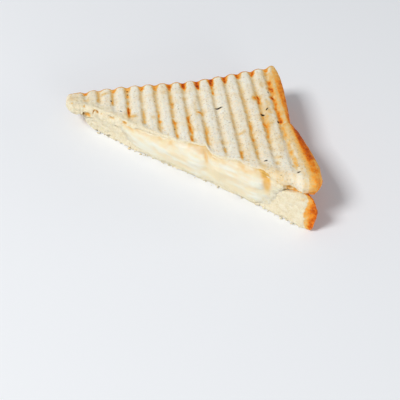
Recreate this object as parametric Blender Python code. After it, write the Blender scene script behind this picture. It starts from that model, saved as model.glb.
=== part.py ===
"""One triangular half of a cheese toastie, pressed between ridged plates and lying on its pressed underside.

Two slices of square white bread hold a layer of melted cheese. The half has a straight crust along its back, the
crust of the loaf's side and crown on its right, a blunt nose on its left, and the long cut across its front, where
the cheese has run out over the lower slice. X runs along the back crust, Y towards the back and Z up.
"""

import bmesh
import bpy
import numpy as np

# Driving dimensions, in millimetres. While it is drawn, the back right corner of the bread is at x = 0, y = 0 and the
# rest at z = 0. The part's own origin is the middle of its resting outline.
MM = 0.001
ORIGIN_X = -56.80
ORIGIN_Y = -48.70
NOSE_X = -122.5  # the upper slice's left end
LOWER_NOSE_X = -113.5  # the lower slice stops short of it
NOSE_WIDTH = 11.5  # the blunt end, squashed by the press
NOSE_CURVE = 5.0  # how far the blunt end rounds back in plan, at the cut
NOSE_CURVE_BACK = 1.8
CUT_Y = -95.0  # where the cut meets the crown crust, x = 0
CUT_SLOPE = -0.74  # change of y with x along the cut
CUT_TURN = 1.5  # softness of the turn from the cut into the nose
PRESSED_HEIGHT = 26.5  # the whole half at the back right corner
PRESSED_RISE = 0.0963  # the upper face rises to the right
PITCH = 8.1  # the plate's ribs
FIRST_GROOVE_X = -111.0
GROOVES = 14
GROOVE_DEPTH = 1.8
GROOVE_HALF = 2.6  # half of the groove's width
GROOVE_FADE = 5.0  # the groove grows shallow over this much before the cut
CUT_SHARE = 0.25  # of the groove's depth, at the cut
RIM_SHARE = 0.3  # and on the stiff rim of the back crust
RIM_WIDTH = 3.8
SCALLOP = 0.5  # how far the crust pulls in at a groove
SIDE_BAND = 3.0  # strip beside the crust that follows the loaf's outline
CORNER = 2.2  # plan radius of the back right corner
BULGE = 0.5  # the crusts stand out this much at half height
LOWER_BACK = 0.6  # the lower slice's back crust lies this far in
BACK_ROUND = 3.0  # radii of the crust's edges
SIDE_ROUND = 3.6
CROWN_ROUND = 5.6
NOSE_ROUND = 3.0
SEAM_ROUND = 1.3  # the inner edges, where the slices meet
UPPER_LIP = 1.3  # the upper slice's edge along the cut
TIP_LIP = 4.3  # and at the crown's tip
BASE_LIP = 1.0  # the lower slice's edge on the surface
CRUMB_LIP = 1.0  # and its upper edge, under the cheese
TIP_CRUMB_LIP = 4.5
CRUST_SHARE = 0.43  # of the height, for the upper slice at the crust
CRUST_SHARE_LOWER = 0.55
MIDDLE_SHARE = 0.30  # and over the cheese
MIDDLE_SHARE_LOWER = 0.44
SEALED = 3.0  # width of the strip along the crust where the slices are pressed together
SHARE_REACH = 9.0  # how far in from there the crust's stiffness is felt
CUT_REACH = 8.0
NOSE_LIFT = 3.6  # the lower slice's nose curls up off the surface
NOSE_LIFT_X = -100.0
CLEARANCE = 0.5  # between the cheese and the bread
CHEESE_LEFT = -110.0
CHEESE_RIGHT = -10.0
CHEESE_INSET = 6.5  # from the back crust
CHEESE_EDGE = 1.0  # where the layer turns down, behind the cut
CHEESE_RECESS = 1.6  # further back where none has run out
APRON_TOE = 3.3  # height of the cheese's lowest edge above the rest
APRON_THICK = 1.9
APRON_DROOP = 0.5  # unevenness of that edge

# The loaf's side outline: y, then how far the crust stands out of x = 0. The waist is where the tin's rim was.
UPPER_SIDE = [(-96, -0.5), (-93, 2.4), (-90, 6.0), (-86, 8.2), (-80, 8.5), (-70, 7.2), (-60, 5.3), (-52, 3.7),
              (-47.5, 1.6), (-45, 0.2), (-42, 0.5), (-34, 1.3), (-17, 2.6), (-5, 2.6), (4, 1.2)]
LOWER_SIDE = [(-102, 2.2), (-99, 3.9), (-95, 3.2), (-88, 2.2), (-75, 3.0), (-60, 3.6), (-48, 1.2), (-45, 0.0),
              (-34, 1.2), (-17, 2.3), (-5, 2.2), (4, 1.0)]
WAIST_Y = -44.0  # the crown's bigger rounding starts here
WAIST_BLEND = 8.0
# The long back crust bows in at its middle: x, then y.
BACK_LINE = [(-122, 2.8), (-106, 4.2), (-94, 3.5), (-80, 2.6), (-60, 1.6), (-42, 0.9), (-30, 1.9), (-20, 3.4),
             (-8, 4.2), (0, 4.6)]
# Along the cut, by x: the upper slice's edge, the height of the lower slice, how far the lower slice stands out in
# front at its base and at its top, and how much of the drop to the toe the cheese covers.
UPPER_EDGE = [(-122, 5.5), (-110, 5.0), (-99, 2.7), (-87, 2.4), (-77, 2.2), (-66, 3.8), (-60, 2.8), (-50, 2.2),
              (-30, 2.4), (-18, 3.6), (-11, 6.0), (0, 6.5)]
LOWER_EDGE = [(-113, 8.2), (-104, 11.4), (-98, 12.0), (-91, 10.9), (-82, 9.2), (-60, 9.4), (-30, 10.8), (-18, 13.2),
              (-10, 17.4), (-4, 19.1), (0, 19.4)]
BASE_OUT = [(-113, -0.6), (-105, -0.6), (-99, -1.2), (-93, 0.4), (-85, 1.8), (-50, 2.0), (-37, 2.8), (-25, 3.4),
            (-10, 5.2), (0, 7.4)]
TOP_OUT = [(-40, 0.0), (-16, 0.8), (-9, 2.4), (0, 4.2)]
APRON = [(-95, 0.0), (-91, 0.2), (-88, 0.45), (-83, 0.9), (-78, 1.0), (-24, 1.0), (-18, 0.85), (-14, 0.45),
         (-11, 0.1), (-8, 0.0)]
# Lobes and folds of the run-out cheese: x, half width, and how far it swells or sinks.
LOBES = [(-84, 5, 0.5), (-66, 6, 1.0), (-56.5, 5, 1.2), (-48, 2.6, -1.2), (-36, 8, 1.3), (-26.5, 4, 0.9),
         (-20.5, 2.6, -1.3)]
# The upper slice's torn edge steps back and then forward of the knife stroke: x, then y.
TORN_STEP = [(-56, 0.0), (-51, 1.0), (-46.5, 2.8), (-43, -1.4), (-37, 0.0)]

BREAD_TOP = (0.90, 0.80, 0.62)
BREAD_BOTTOM = (0.88, 0.78, 0.60)
CHEESE_IVORY = (0.93, 0.85, 0.62)


def clear_scene():
    for thing in list(bpy.data.objects):
        bpy.data.objects.remove(thing)


def along(where, points):
    """The value at each place, read between named points in order of their first number."""
    table = np.array(points, float)
    return np.interp(where, table[:, 0], table[:, 1])


def smooth(t):
    t = np.clip(t, 0, 1)
    return t * t * (3 - 2 * t)


def cut_line(x):
    """The cut as a straight knife stroke that turns along the blunt nose."""
    stroke = CUT_Y + CUT_SLOPE * x
    return -CUT_TURN * np.logaddexp(-stroke / CUT_TURN, NOSE_WIDTH / CUT_TURN)


def normal_share():
    """How much of a step along Y is a step square to the cut."""
    return 1 / np.hypot(1, CUT_SLOPE)


def pressed_plane(x):
    return PRESSED_HEIGHT + PRESSED_RISE * x


def groove(x, spread=1.0):
    """One at the middle of each rib's groove, falling smoothly to nought on the crests between them."""
    nearest = np.clip(np.round((x - FIRST_GROOVE_X) / PITCH), 0, GROOVES - 1)
    off = np.abs(x - FIRST_GROOVE_X - PITCH * nearest) / (GROOVE_HALF * spread)
    return np.where(off < 1, 0.5 + 0.5 * np.cos(np.pi * np.clip(off, 0, 1)), 0.0)


def groove_depth(from_cut, from_back, from_side, edge_drop):
    """Depth of a groove: shallow at the cut and on the crust's rim, and gone on the rounded edges."""
    depth = GROOVE_DEPTH * (CUT_SHARE + (1 - CUT_SHARE) * smooth(from_cut / GROOVE_FADE))
    depth = depth * (RIM_SHARE + (1 - RIM_SHARE) * smooth((from_back - 1.2) / (RIM_WIDTH - 1.2)))
    return depth * smooth((from_side - 1) / 2) * (1 - smooth((edge_drop - 1.2) / 2))


def swell(x, y):
    """The slow unevenness of pressed bread."""
    return 0.30 * np.sin(x / 13.0 + 0.9) * np.sin(y / 17.0 + 0.4) + 0.20 * np.sin(x / 7.3 + y / 11.0)


def stiffness(x, y):
    """One along the crust, where the slices are sealed, falling to nought over the cheese."""
    from_back = np.maximum(along(x, BACK_LINE) - y, 0)
    from_side = np.maximum(along(y, UPPER_SIDE) - x, 0)
    return np.exp(-np.maximum(np.minimum(from_back, from_side) - SEALED, 0) / SHARE_REACH)


def near_cut(x, y):
    """One at the cut, falling to nought inside."""
    return np.exp(-np.maximum((y - cut_line(x)) * normal_share(), 0) / CUT_REACH)


def upper_inner(x, y):
    """Underside of the upper slice: thin over the cheese, thick at the crusts, a lip at the cut."""
    height = pressed_plane(np.minimum(x, 0))
    inside = height * (MIDDLE_SHARE + (CRUST_SHARE - MIDDLE_SHARE) * stiffness(x, y))
    return pressed_plane(x) - inside - (along(x, UPPER_EDGE) - inside) * near_cut(x, y)


def lower_inner(x, y):
    """Upper side of the lower slice."""
    height = pressed_plane(np.minimum(x, 0))
    inside = height * (MIDDLE_SHARE_LOWER + (CRUST_SHARE_LOWER - MIDDLE_SHARE_LOWER) * stiffness(x, y))
    return inside + (along(x, LOWER_EDGE) - inside) * near_cut(x, y)


def rest_lift(x):
    """Height of the lower slice's pressed crests: on the surface, apart from the curled nose."""
    share = np.clip((NOSE_LIFT_X - x) / (NOSE_LIFT_X - LOWER_NOSE_X), 0, 1.4)
    return NOSE_LIFT * share**2


def out_in_front(x, level):
    """How far the lower slice's cut face stands out along -Y, at a share of its height."""
    base, top = along(x, BASE_OUT), along(x, TOP_OUT)
    return top + (base - top) * (1 - np.clip(level, 0, 1))


def across(v, width):
    """Turns a share from front to back into millimetres, with the rows gathered at both edges."""
    zone = np.minimum(16.0, 0.42 * width)
    share = 0.4
    power = 2.2
    front = zone * (np.clip(v, 0, share) / share) ** power
    back = width - zone * (np.clip(1 - v, 0, share) / share) ** power
    middle = zone + (width - 2 * zone) * (v - share) / (1 - 2 * share)
    return np.where(v < share, front, np.where(v > 1 - share, back, middle))


def rounded(near, radii):
    """Drop of an edge rounded to a quarter circle, from the distances to several edges and their radii."""
    shares = [np.clip(1 - d / r, 0, 1) for d, r in zip(near, radii)]
    total = sum(s**2 for s in shares)
    radius = sum(r * s**2 for r, s in zip(radii, shares)) / np.maximum(total, 1e-9)
    return radius * (1 - np.sqrt(1 - np.clip(total, 0, 1)))


def block(name, x_cuts, v_cuts, w_cuts, band_v_cuts=(), band_x=None):
    """A cube with loop cuts: x along the bread, v from the cut to the back crust, w from underside to top."""
    mesh = bpy.data.meshes.new(name)
    shape = bmesh.new()
    bmesh.ops.create_cube(shape, size=1)
    low, high = x_cuts[0], x_cuts[-1]
    for vert in shape.verts:
        vert.co.x = low + (vert.co.x + 0.5) * (high - low)
        vert.co.y += 0.5
        vert.co.z += 0.5
    loops = [((x, 0, 0), (1, 0, 0)) for x in x_cuts[1:-1]]
    loops += [((0, v, 0), (0, 1, 0)) for v in v_cuts]
    loops += [((0, 0, w), (0, 0, 1)) for w in w_cuts]
    for place, normal in loops:
        everything = shape.verts[:] + shape.edges[:] + shape.faces[:]
        bmesh.ops.bisect_plane(shape, geom=everything, plane_co=place, plane_no=normal, dist=1e-5)
    for v in band_v_cuts:
        faces = [f for f in shape.faces if f.calc_center_median().x > band_x]
        edges = {e for f in faces for e in f.edges}
        verts = {p for f in faces for p in f.verts}
        bmesh.ops.bisect_plane(shape, geom=[*verts, *edges, *faces], plane_co=(0, v, 0), plane_no=(0, 1, 0), dist=1e-5)
    shape.to_mesh(mesh)
    shape.free()
    return mesh


def place_points(mesh, mapping):
    """Moves every vertex of a block from (x, v, w) to its real place, in metres from the part's origin."""
    flat = np.empty(len(mesh.vertices) * 3)
    mesh.vertices.foreach_get("co", flat)
    x, v, w = flat.reshape(-1, 3).T
    moved = np.column_stack(mapping(x, v, w)) - (ORIGIN_X, ORIGIN_Y, 0)
    mesh.vertices.foreach_set("co", (moved * MM).ravel())
    mesh.update()


def nose_setback(x, v, nose):
    """Rounds the blunt end in plan: how far each row starts behind the nose's furthest point."""
    peak = 0.55
    reach = 12.0
    ahead = NOSE_CURVE * np.clip(1 - v / peak, 0, 1) ** 2.2
    behind = NOSE_CURVE_BACK * np.clip((v - peak) / (1 - peak), 0, 1) ** 2
    return (ahead + behind) * np.clip(1 - (x - nose) / reach, 0, 1) ** 2


def bulge(w):
    return BULGE * (1 - (2 * w - 1) ** 2)


def crumbly(x):
    """Small unevenness of the torn crumb along the cut."""
    return 0.25 * np.sin(x / 1.9)


def crust_line(x, x_in, w, pressed_share):
    """Y of the back crust, with its scallops at the grooves and its rounded right corner."""
    corner = CORNER * (1 - np.sqrt(1 - np.clip(1 + x_in / CORNER, 0, 1) ** 2))
    return along(x, BACK_LINE) + bulge(w) - SCALLOP * groove(x, 1.2) * pressed_share - corner


def beside_crust(x_in, x, y, w, outline):
    """Stretches the last strip out to the loaf's outline: the new x, and the distance from the side crust."""
    share = np.clip((x_in + SIDE_BAND) / SIDE_BAND, 0, 1)
    reach = along(y, outline) + bulge(w)
    x = x + reach * share
    return x, np.where(x_in > -4 * SIDE_BAND, reach - x, 99)


def upper_slice(x_in, v, w):
    """Block point to real place for the upper slice."""
    x = x_in + nose_setback(x_in, v, NOSE_X)
    front = cut_line(x) + along(x, TORN_STEP) + crumbly(x)
    back = crust_line(x, x_in, w, 0.3 + 0.7 * w)
    y = front + across(v, back - front)
    x, from_side = beside_crust(x_in, x, y, w, UPPER_SIDE)
    from_cut = (y - front) * normal_share()
    from_back = back - y
    from_nose = x_in - NOSE_X
    side_radius = SIDE_ROUND + (CROWN_ROUND - SIDE_ROUND) * smooth((WAIST_Y - y) / WAIST_BLEND)
    lip = UPPER_LIP + (TIP_LIP - UPPER_LIP) * smooth((x + 16) / 14)
    inner = upper_inner(x, y)
    thick = pressed_plane(x) - inner
    drop = rounded((from_back, from_side, from_nose), (BACK_ROUND, side_radius, NOSE_ROUND))
    drop = np.maximum(drop, rounded((from_cut,), (lip,)))
    depth = groove_depth(from_cut, from_back, from_side, drop)
    top = pressed_plane(x) + swell(x, y) - depth * groove(x, 1 + 0.25 * np.exp(-from_back / 7))
    top -= np.minimum(drop, 0.6 * thick)
    under = rounded((from_back, from_side, from_nose, from_cut), (SEAM_ROUND, SEAM_ROUND, SEAM_ROUND, 0.6))
    bottom = inner + np.minimum(under, 0.3 * thick)
    return x, y, bottom + w * (top - bottom)


def lower_slice(x_in, v, w):
    """Block point to real place for the lower slice."""
    x = x_in + nose_setback(x_in, v, LOWER_NOSE_X)
    front = cut_line(x) - out_in_front(x, w) + crumbly(x)
    back = crust_line(x, x_in, w, 1 - 0.7 * w) - LOWER_BACK
    y = front + across(v, back - front)
    x, from_side = beside_crust(x_in, x, y, w, LOWER_SIDE)
    from_cut = (y - front) * normal_share()
    from_back = back - y
    from_nose = x_in - LOWER_NOSE_X
    inner = lower_inner(x, y)
    rest = rest_lift(x)
    thick = inner - rest
    rise = rounded((from_back, from_side, from_nose), (BACK_ROUND, SIDE_ROUND, NOSE_ROUND))
    rise = np.maximum(rise, rounded((from_cut,), (BASE_LIP,)))
    depth = groove_depth(from_cut, from_back, from_side, rise)
    bottom = rest + depth * groove(x) + np.minimum(rise, 0.5 * thick)
    crumb_lip = CRUMB_LIP + (TIP_CRUMB_LIP - CRUMB_LIP) * smooth((x + 18) / 14)
    drop = rounded((from_back, from_side, from_nose, from_cut), (SEAM_ROUND, SEAM_ROUND, SEAM_ROUND, crumb_lip))
    top = inner - np.minimum(drop, 0.35 * thick)
    return x, y, bottom + w * (top - bottom)


def lobes(x):
    total = 0 * x
    for middle, half, height in LOBES:
        total = total + height * np.exp(-(((x - middle) / half) ** 2))
    return total


def cheese_layer(x, v, w):
    """Block point to real place for the cheese.

    1 - v runs from the back crust forward between the slices to the cut, then down over the lower slice's cut face. w
    runs from the side that touches the lower slice to the outer side.
    """
    turn = 0.5
    over_edge = 0.2
    q = 1 - v
    inside = np.clip(q / turn, 0, 1)
    outside = np.clip((q - turn) / (1 - turn), 0, 1)
    slope = 1 / normal_share()
    spread = along(x, APRON)
    full = smooth(spread / 0.15)
    covered = np.clip((spread - 0.12) / 0.88, 0, 1)
    line = cut_line(x)
    back = along(x, BACK_LINE) - CHEESE_INSET
    edge = line + CHEESE_EDGE + CHEESE_RECESS * (1 - full) * slope
    y_in = back + (edge - back) * (1 - (1 - inside) ** 1.5)
    low = lower_inner(x, y_in) + CLEARANCE
    high = upper_inner(x, y_in) - CLEARANCE
    low_edge = lower_inner(x, edge) + CLEARANCE
    high_edge = upper_inner(x, edge) - CLEARANCE
    toe = low_edge + (APRON_TOE + APRON_DROOP * np.sin(x / 3.7) - low_edge) * covered
    toe_height = np.minimum(0.7, 0.45 * (high_edge - low_edge))
    step_out = smooth(outside / over_edge) * full
    z_inner = low_edge + (toe - low_edge) * np.clip((outside - over_edge) / (1 - over_edge), 0, 1)
    z_outer = high_edge + (toe + toe_height - high_edge) * outside
    swelling = 1 - np.clip(1 - outside / 0.35, 0, 1) ** 2
    taper = 1 - 0.55 * smooth((outside - 0.7) / 0.3)
    thick = (APRON_THICK + lobes(x)) * swelling * taper * full + 0.5 * outside
    away_inner = out_in_front(x, z_inner / low_edge) + (CLEARANCE + 0.3) * slope
    away_outer = out_in_front(x, z_outer / low_edge) + (CLEARANCE + 0.3) * slope
    y_inner = edge + (line - away_inner - edge) * step_out - 0.4 * outside
    y_outer = edge + (line - away_outer - edge) * step_out - 0.4 * outside - thick * slope
    low = np.where(outside > 0, z_inner, low)
    high = np.where(outside > 0, z_outer, high)
    y_low = np.where(outside > 0, y_inner, y_in)
    y_high = np.where(outside > 0, y_outer, y_in)
    return x, y_low + w * (y_high - y_low), low + w * (high - low)


def groove_stations(start, end):
    """Loop cuts along the bread: five to a groove where its flanks turn, closer at both ends."""
    flank = GROOVE_HALF / 2
    places = [FIRST_GROOVE_X + PITCH * n + flank * k for n in range(GROOVES) for k in (-2, -1, 0, 1, 2)]
    places = [x for x in places if start + 4 < x < end - SIDE_BAND - 0.2]
    return [start, start + 0.4, start + 1.4, start + 3.0, *places, -SIDE_BAND, -2.2, -1.4, -0.7, -0.25, end]


def material(name, colour, roughness):
    made = bpy.data.materials.new(name)
    made.use_nodes = True
    shader = made.node_tree.nodes["Principled BSDF"]
    shader.inputs["Base Color"].default_value = (*colour, 1)
    shader.inputs["Roughness"].default_value = roughness
    shader.inputs["Metallic"].default_value = 0
    return made


def add_part(name, mesh, mapping, look, collection):
    place_points(mesh, mapping)
    mesh.materials.append(look)
    mesh.shade_smooth()
    mesh.set_sharp_from_angle(angle=np.radians(50))
    part = bpy.data.objects.new(name, mesh)
    collection.objects.link(part)
    return part


def main():
    clear_scene()
    collection = bpy.data.collections.new("cheese_toastie")
    bpy.context.scene.collection.children.link(collection)
    rows = [0.1, 0.2, 0.3, 0.4, 0.5, 0.6, 0.7, 0.8, 0.9]
    layers = [0.25, 0.5, 0.75]
    waist_rows = [0.42, 0.46, 0.475, 0.49, 0.505, 0.52, 0.535, 0.56, 0.25, 0.15, 0.05]
    band = -SIDE_BAND - 1
    upper = block("top_slice", groove_stations(NOSE_X, 0.0), rows, layers, waist_rows, band)
    lower = block("bottom_slice", groove_stations(LOWER_NOSE_X, 0.0), rows, layers, waist_rows, band)
    cheese_cuts = list(np.linspace(CHEESE_LEFT, CHEESE_RIGHT, 46))
    path_rows = [0.05, 0.12, 0.2, 0.28, 0.34, 0.4, 0.45, 0.5, 0.57, 0.66, 0.78, 0.9]
    filling = block("cheese", cheese_cuts, path_rows, [])
    add_part("top_slice", upper, upper_slice, material("toasted_top", BREAD_TOP, 0.85), collection)
    add_part("bottom_slice", lower, lower_slice, material("toasted_bottom", BREAD_BOTTOM, 0.85), collection)
    add_part("cheese", filling, cheese_layer, material("melted_cheese", CHEESE_IVORY, 0.35), collection)


main()
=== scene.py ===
"""Looks of one half of a pressed cheese toastie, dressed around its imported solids.

The bread and the cheese are worked out here from the same driving dimensions as the solids, on finer grids,
with the browning of the press's ribs, the torn crumb of the cut, the loaf's crust and the folds of the melted
cheese. Lengths are in millimetres, and become metres when a mesh is made.
"""

from __future__ import annotations

import logging
from dataclasses import dataclass, field
from enum import Enum

import bpy
import numpy as np
from mathutils import Matrix

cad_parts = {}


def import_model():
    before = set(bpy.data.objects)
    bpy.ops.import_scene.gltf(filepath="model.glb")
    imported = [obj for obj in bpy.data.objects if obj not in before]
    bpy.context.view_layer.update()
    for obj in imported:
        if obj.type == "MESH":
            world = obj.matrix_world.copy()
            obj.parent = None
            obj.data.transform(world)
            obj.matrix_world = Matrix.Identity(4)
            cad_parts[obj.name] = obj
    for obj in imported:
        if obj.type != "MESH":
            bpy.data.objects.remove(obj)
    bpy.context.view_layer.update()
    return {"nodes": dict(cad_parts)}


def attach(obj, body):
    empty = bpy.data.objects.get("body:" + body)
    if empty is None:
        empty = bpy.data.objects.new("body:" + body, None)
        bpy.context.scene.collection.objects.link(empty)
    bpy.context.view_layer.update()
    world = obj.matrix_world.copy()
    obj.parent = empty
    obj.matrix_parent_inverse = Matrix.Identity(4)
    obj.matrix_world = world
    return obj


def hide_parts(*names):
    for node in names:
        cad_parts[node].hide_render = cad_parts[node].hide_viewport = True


LOG = logging.getLogger("toastie")
MM = 0.001
FAR = 99.0
BODY = "root"
# Seeds of the noises that more than one piece shares
LUMPS = 11
PORES = 31
ROUGH = 41
# Names of the grain's outputs that the cut crumb takes in
GRAIN = ("Mottle", "Speckle", "Pores")

Array = np.ndarray
Pair = tuple[float, float]
Triple = tuple[float, float, float]
Points = tuple[Pair, ...]
Colour = Triple
Socket = bpy.types.NodeSocket


def tint(red: int, green: int, blue: int) -> Colour:
    """Turns a colour of the eye, each part 0 to 255, into linear light."""
    return tuple(float(c) for c in ((np.array([red, green, blue]) / 255 + 0.055) / 1.055) ** 2.4)


def smooth(t: Array) -> Array:
    """Rises from 0 to 1 between t = 0 and t = 1, flat at both ends."""
    t = np.clip(t, 0, 1)
    return t * t * (3 - 2 * t)


def between(value: Array, low: float, high: float) -> Array:
    """Rises smoothly from 0 at low to 1 at high; falls if low is the larger."""
    return smooth((value - low) / (high - low))


def along(where: Array, points: Points) -> Array:
    """The value at each place, read between named points in order of their first number."""
    table = np.array(points, float)
    return np.interp(where, table[:, 0], table[:, 1])


def bell(off: Array, half: float | Array) -> Array:
    """One in the middle, falling on both sides: exp(-(off / half)^2)."""
    return np.exp(-((off / half) ** 2))


def blob(x: Array, y: Array, middle: Pair, size: Pair, turn: float = 0.0) -> Array:
    """One in the middle of a soft oval, falling to nought outside it.

    Args:
        x: first plan coordinate of each point.
        y: second plan coordinate.
        middle: the oval's middle.
        size: its half length and half width.
        turn: degrees from the first axis to its length.

    Returns:
        exp(-(along / half length)^2 - (across / half width)^2) at each point.
    """
    angle = np.radians(turn)
    dx, dy = x - middle[0], y - middle[1]
    long = dx * np.cos(angle) + dy * np.sin(angle)
    short = dy * np.cos(angle) - dx * np.sin(angle)
    return np.exp(-((long / size[0]) ** 2) - (short / size[1]) ** 2)


class Noise:
    """Repeatable unevenness in space, from hashed lattice values."""

    @staticmethod
    def lattice(cell: Array, seed: int) -> Array:
        """Hashes whole-number cells.

        Args:
            cell: (..., 3) cells.
            seed: picks the pattern.

        Returns:
            A value of 0 to 1 for each cell, always the same for the same cell and seed.
        """
        a, b, c = (cell[..., k].astype(np.int64) for k in range(3))
        mixed = (a * 374761393 + b * 668265263 + c * 1274126177 + seed * 974711) & 0xFFFFFFFF
        mixed = ((mixed ^ (mixed >> 13)) * 1103515245) & 0xFFFFFFFF
        mixed = ((mixed ^ (mixed >> 15)) * 374761393) & 0xFFFFFFFF
        return ((mixed ^ (mixed >> 16)) & 0xFFFF) / 65535.0

    @classmethod
    def value(cls, points: Array, pitch: float | Array, seed: int) -> Array:
        """Noise of -1 to 1 whose lumps are about a pitch wide.

        Args:
            points: (n, 3) places.
            pitch: the lattice's spacing, one number or one for each axis.
            seed: picks the pattern.

        Returns:
            Lattice values blended by a smooth cubic along each axis.
        """
        scaled = points / pitch
        corner = np.floor(scaled)
        share = smooth(scaled - corner)
        total = np.zeros(len(points))
        for step in np.ndindex(2, 2, 2):
            weight = np.prod(np.where(np.array(step) == 1, share, 1 - share), axis=1)
            total += weight * cls.lattice(corner + np.array(step), seed)
        return 2 * total - 1

    @classmethod
    def layers(cls, points: Array, pitch: float | Array, seed: int, octaves: int = 3) -> Array:
        """Several layers of noise, each half as wide and half as strong as the last, in -1 to 1."""
        total = sum(cls.value(points, np.asarray(pitch) / 2**k, seed + 17 * k) / 2**k for k in range(octaves))
        return total / (2 - 2.0 ** (1 - octaves))

    @classmethod
    def pores(cls, points: Array, pitch: float, radius: float, seed: int, share: float = 0.6) -> Array:
        """One in the middle of small round holes, nought outside.

        Args:
            points: (n, 3) places.
            pitch: spacing of the cells that may hold a hole.
            radius: largest radius, as a share of the pitch.
            seed: picks the pattern.
            share: how many of the cells hold one.

        Returns:
            1 - (distance / radius)^2 at the nearest hole, or 0.
        """
        scaled = points / pitch
        corner = np.floor(scaled)
        deepest = np.zeros(len(points))
        for step in np.ndindex(3, 3, 3):
            cell = corner + np.array(step) - 1
            centre = np.stack([cls.lattice(cell, seed + k) for k in (1, 2, 3)], axis=1) + cell
            size = radius * (0.35 + 0.65 * cls.lattice(cell, seed + 4))
            here = 1 - ((scaled - centre) ** 2).sum(axis=1) / size**2
            deepest = np.maximum(deepest, np.where(cls.lattice(cell, seed + 5) < share, here, 0))
        return deepest


@dataclass(frozen=True)
class Edges:
    """How far each point of a slice is from its cut, its back crust, its side crust and its nose."""

    cut: Array
    back: Array
    side: Array
    nose: Array


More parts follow.
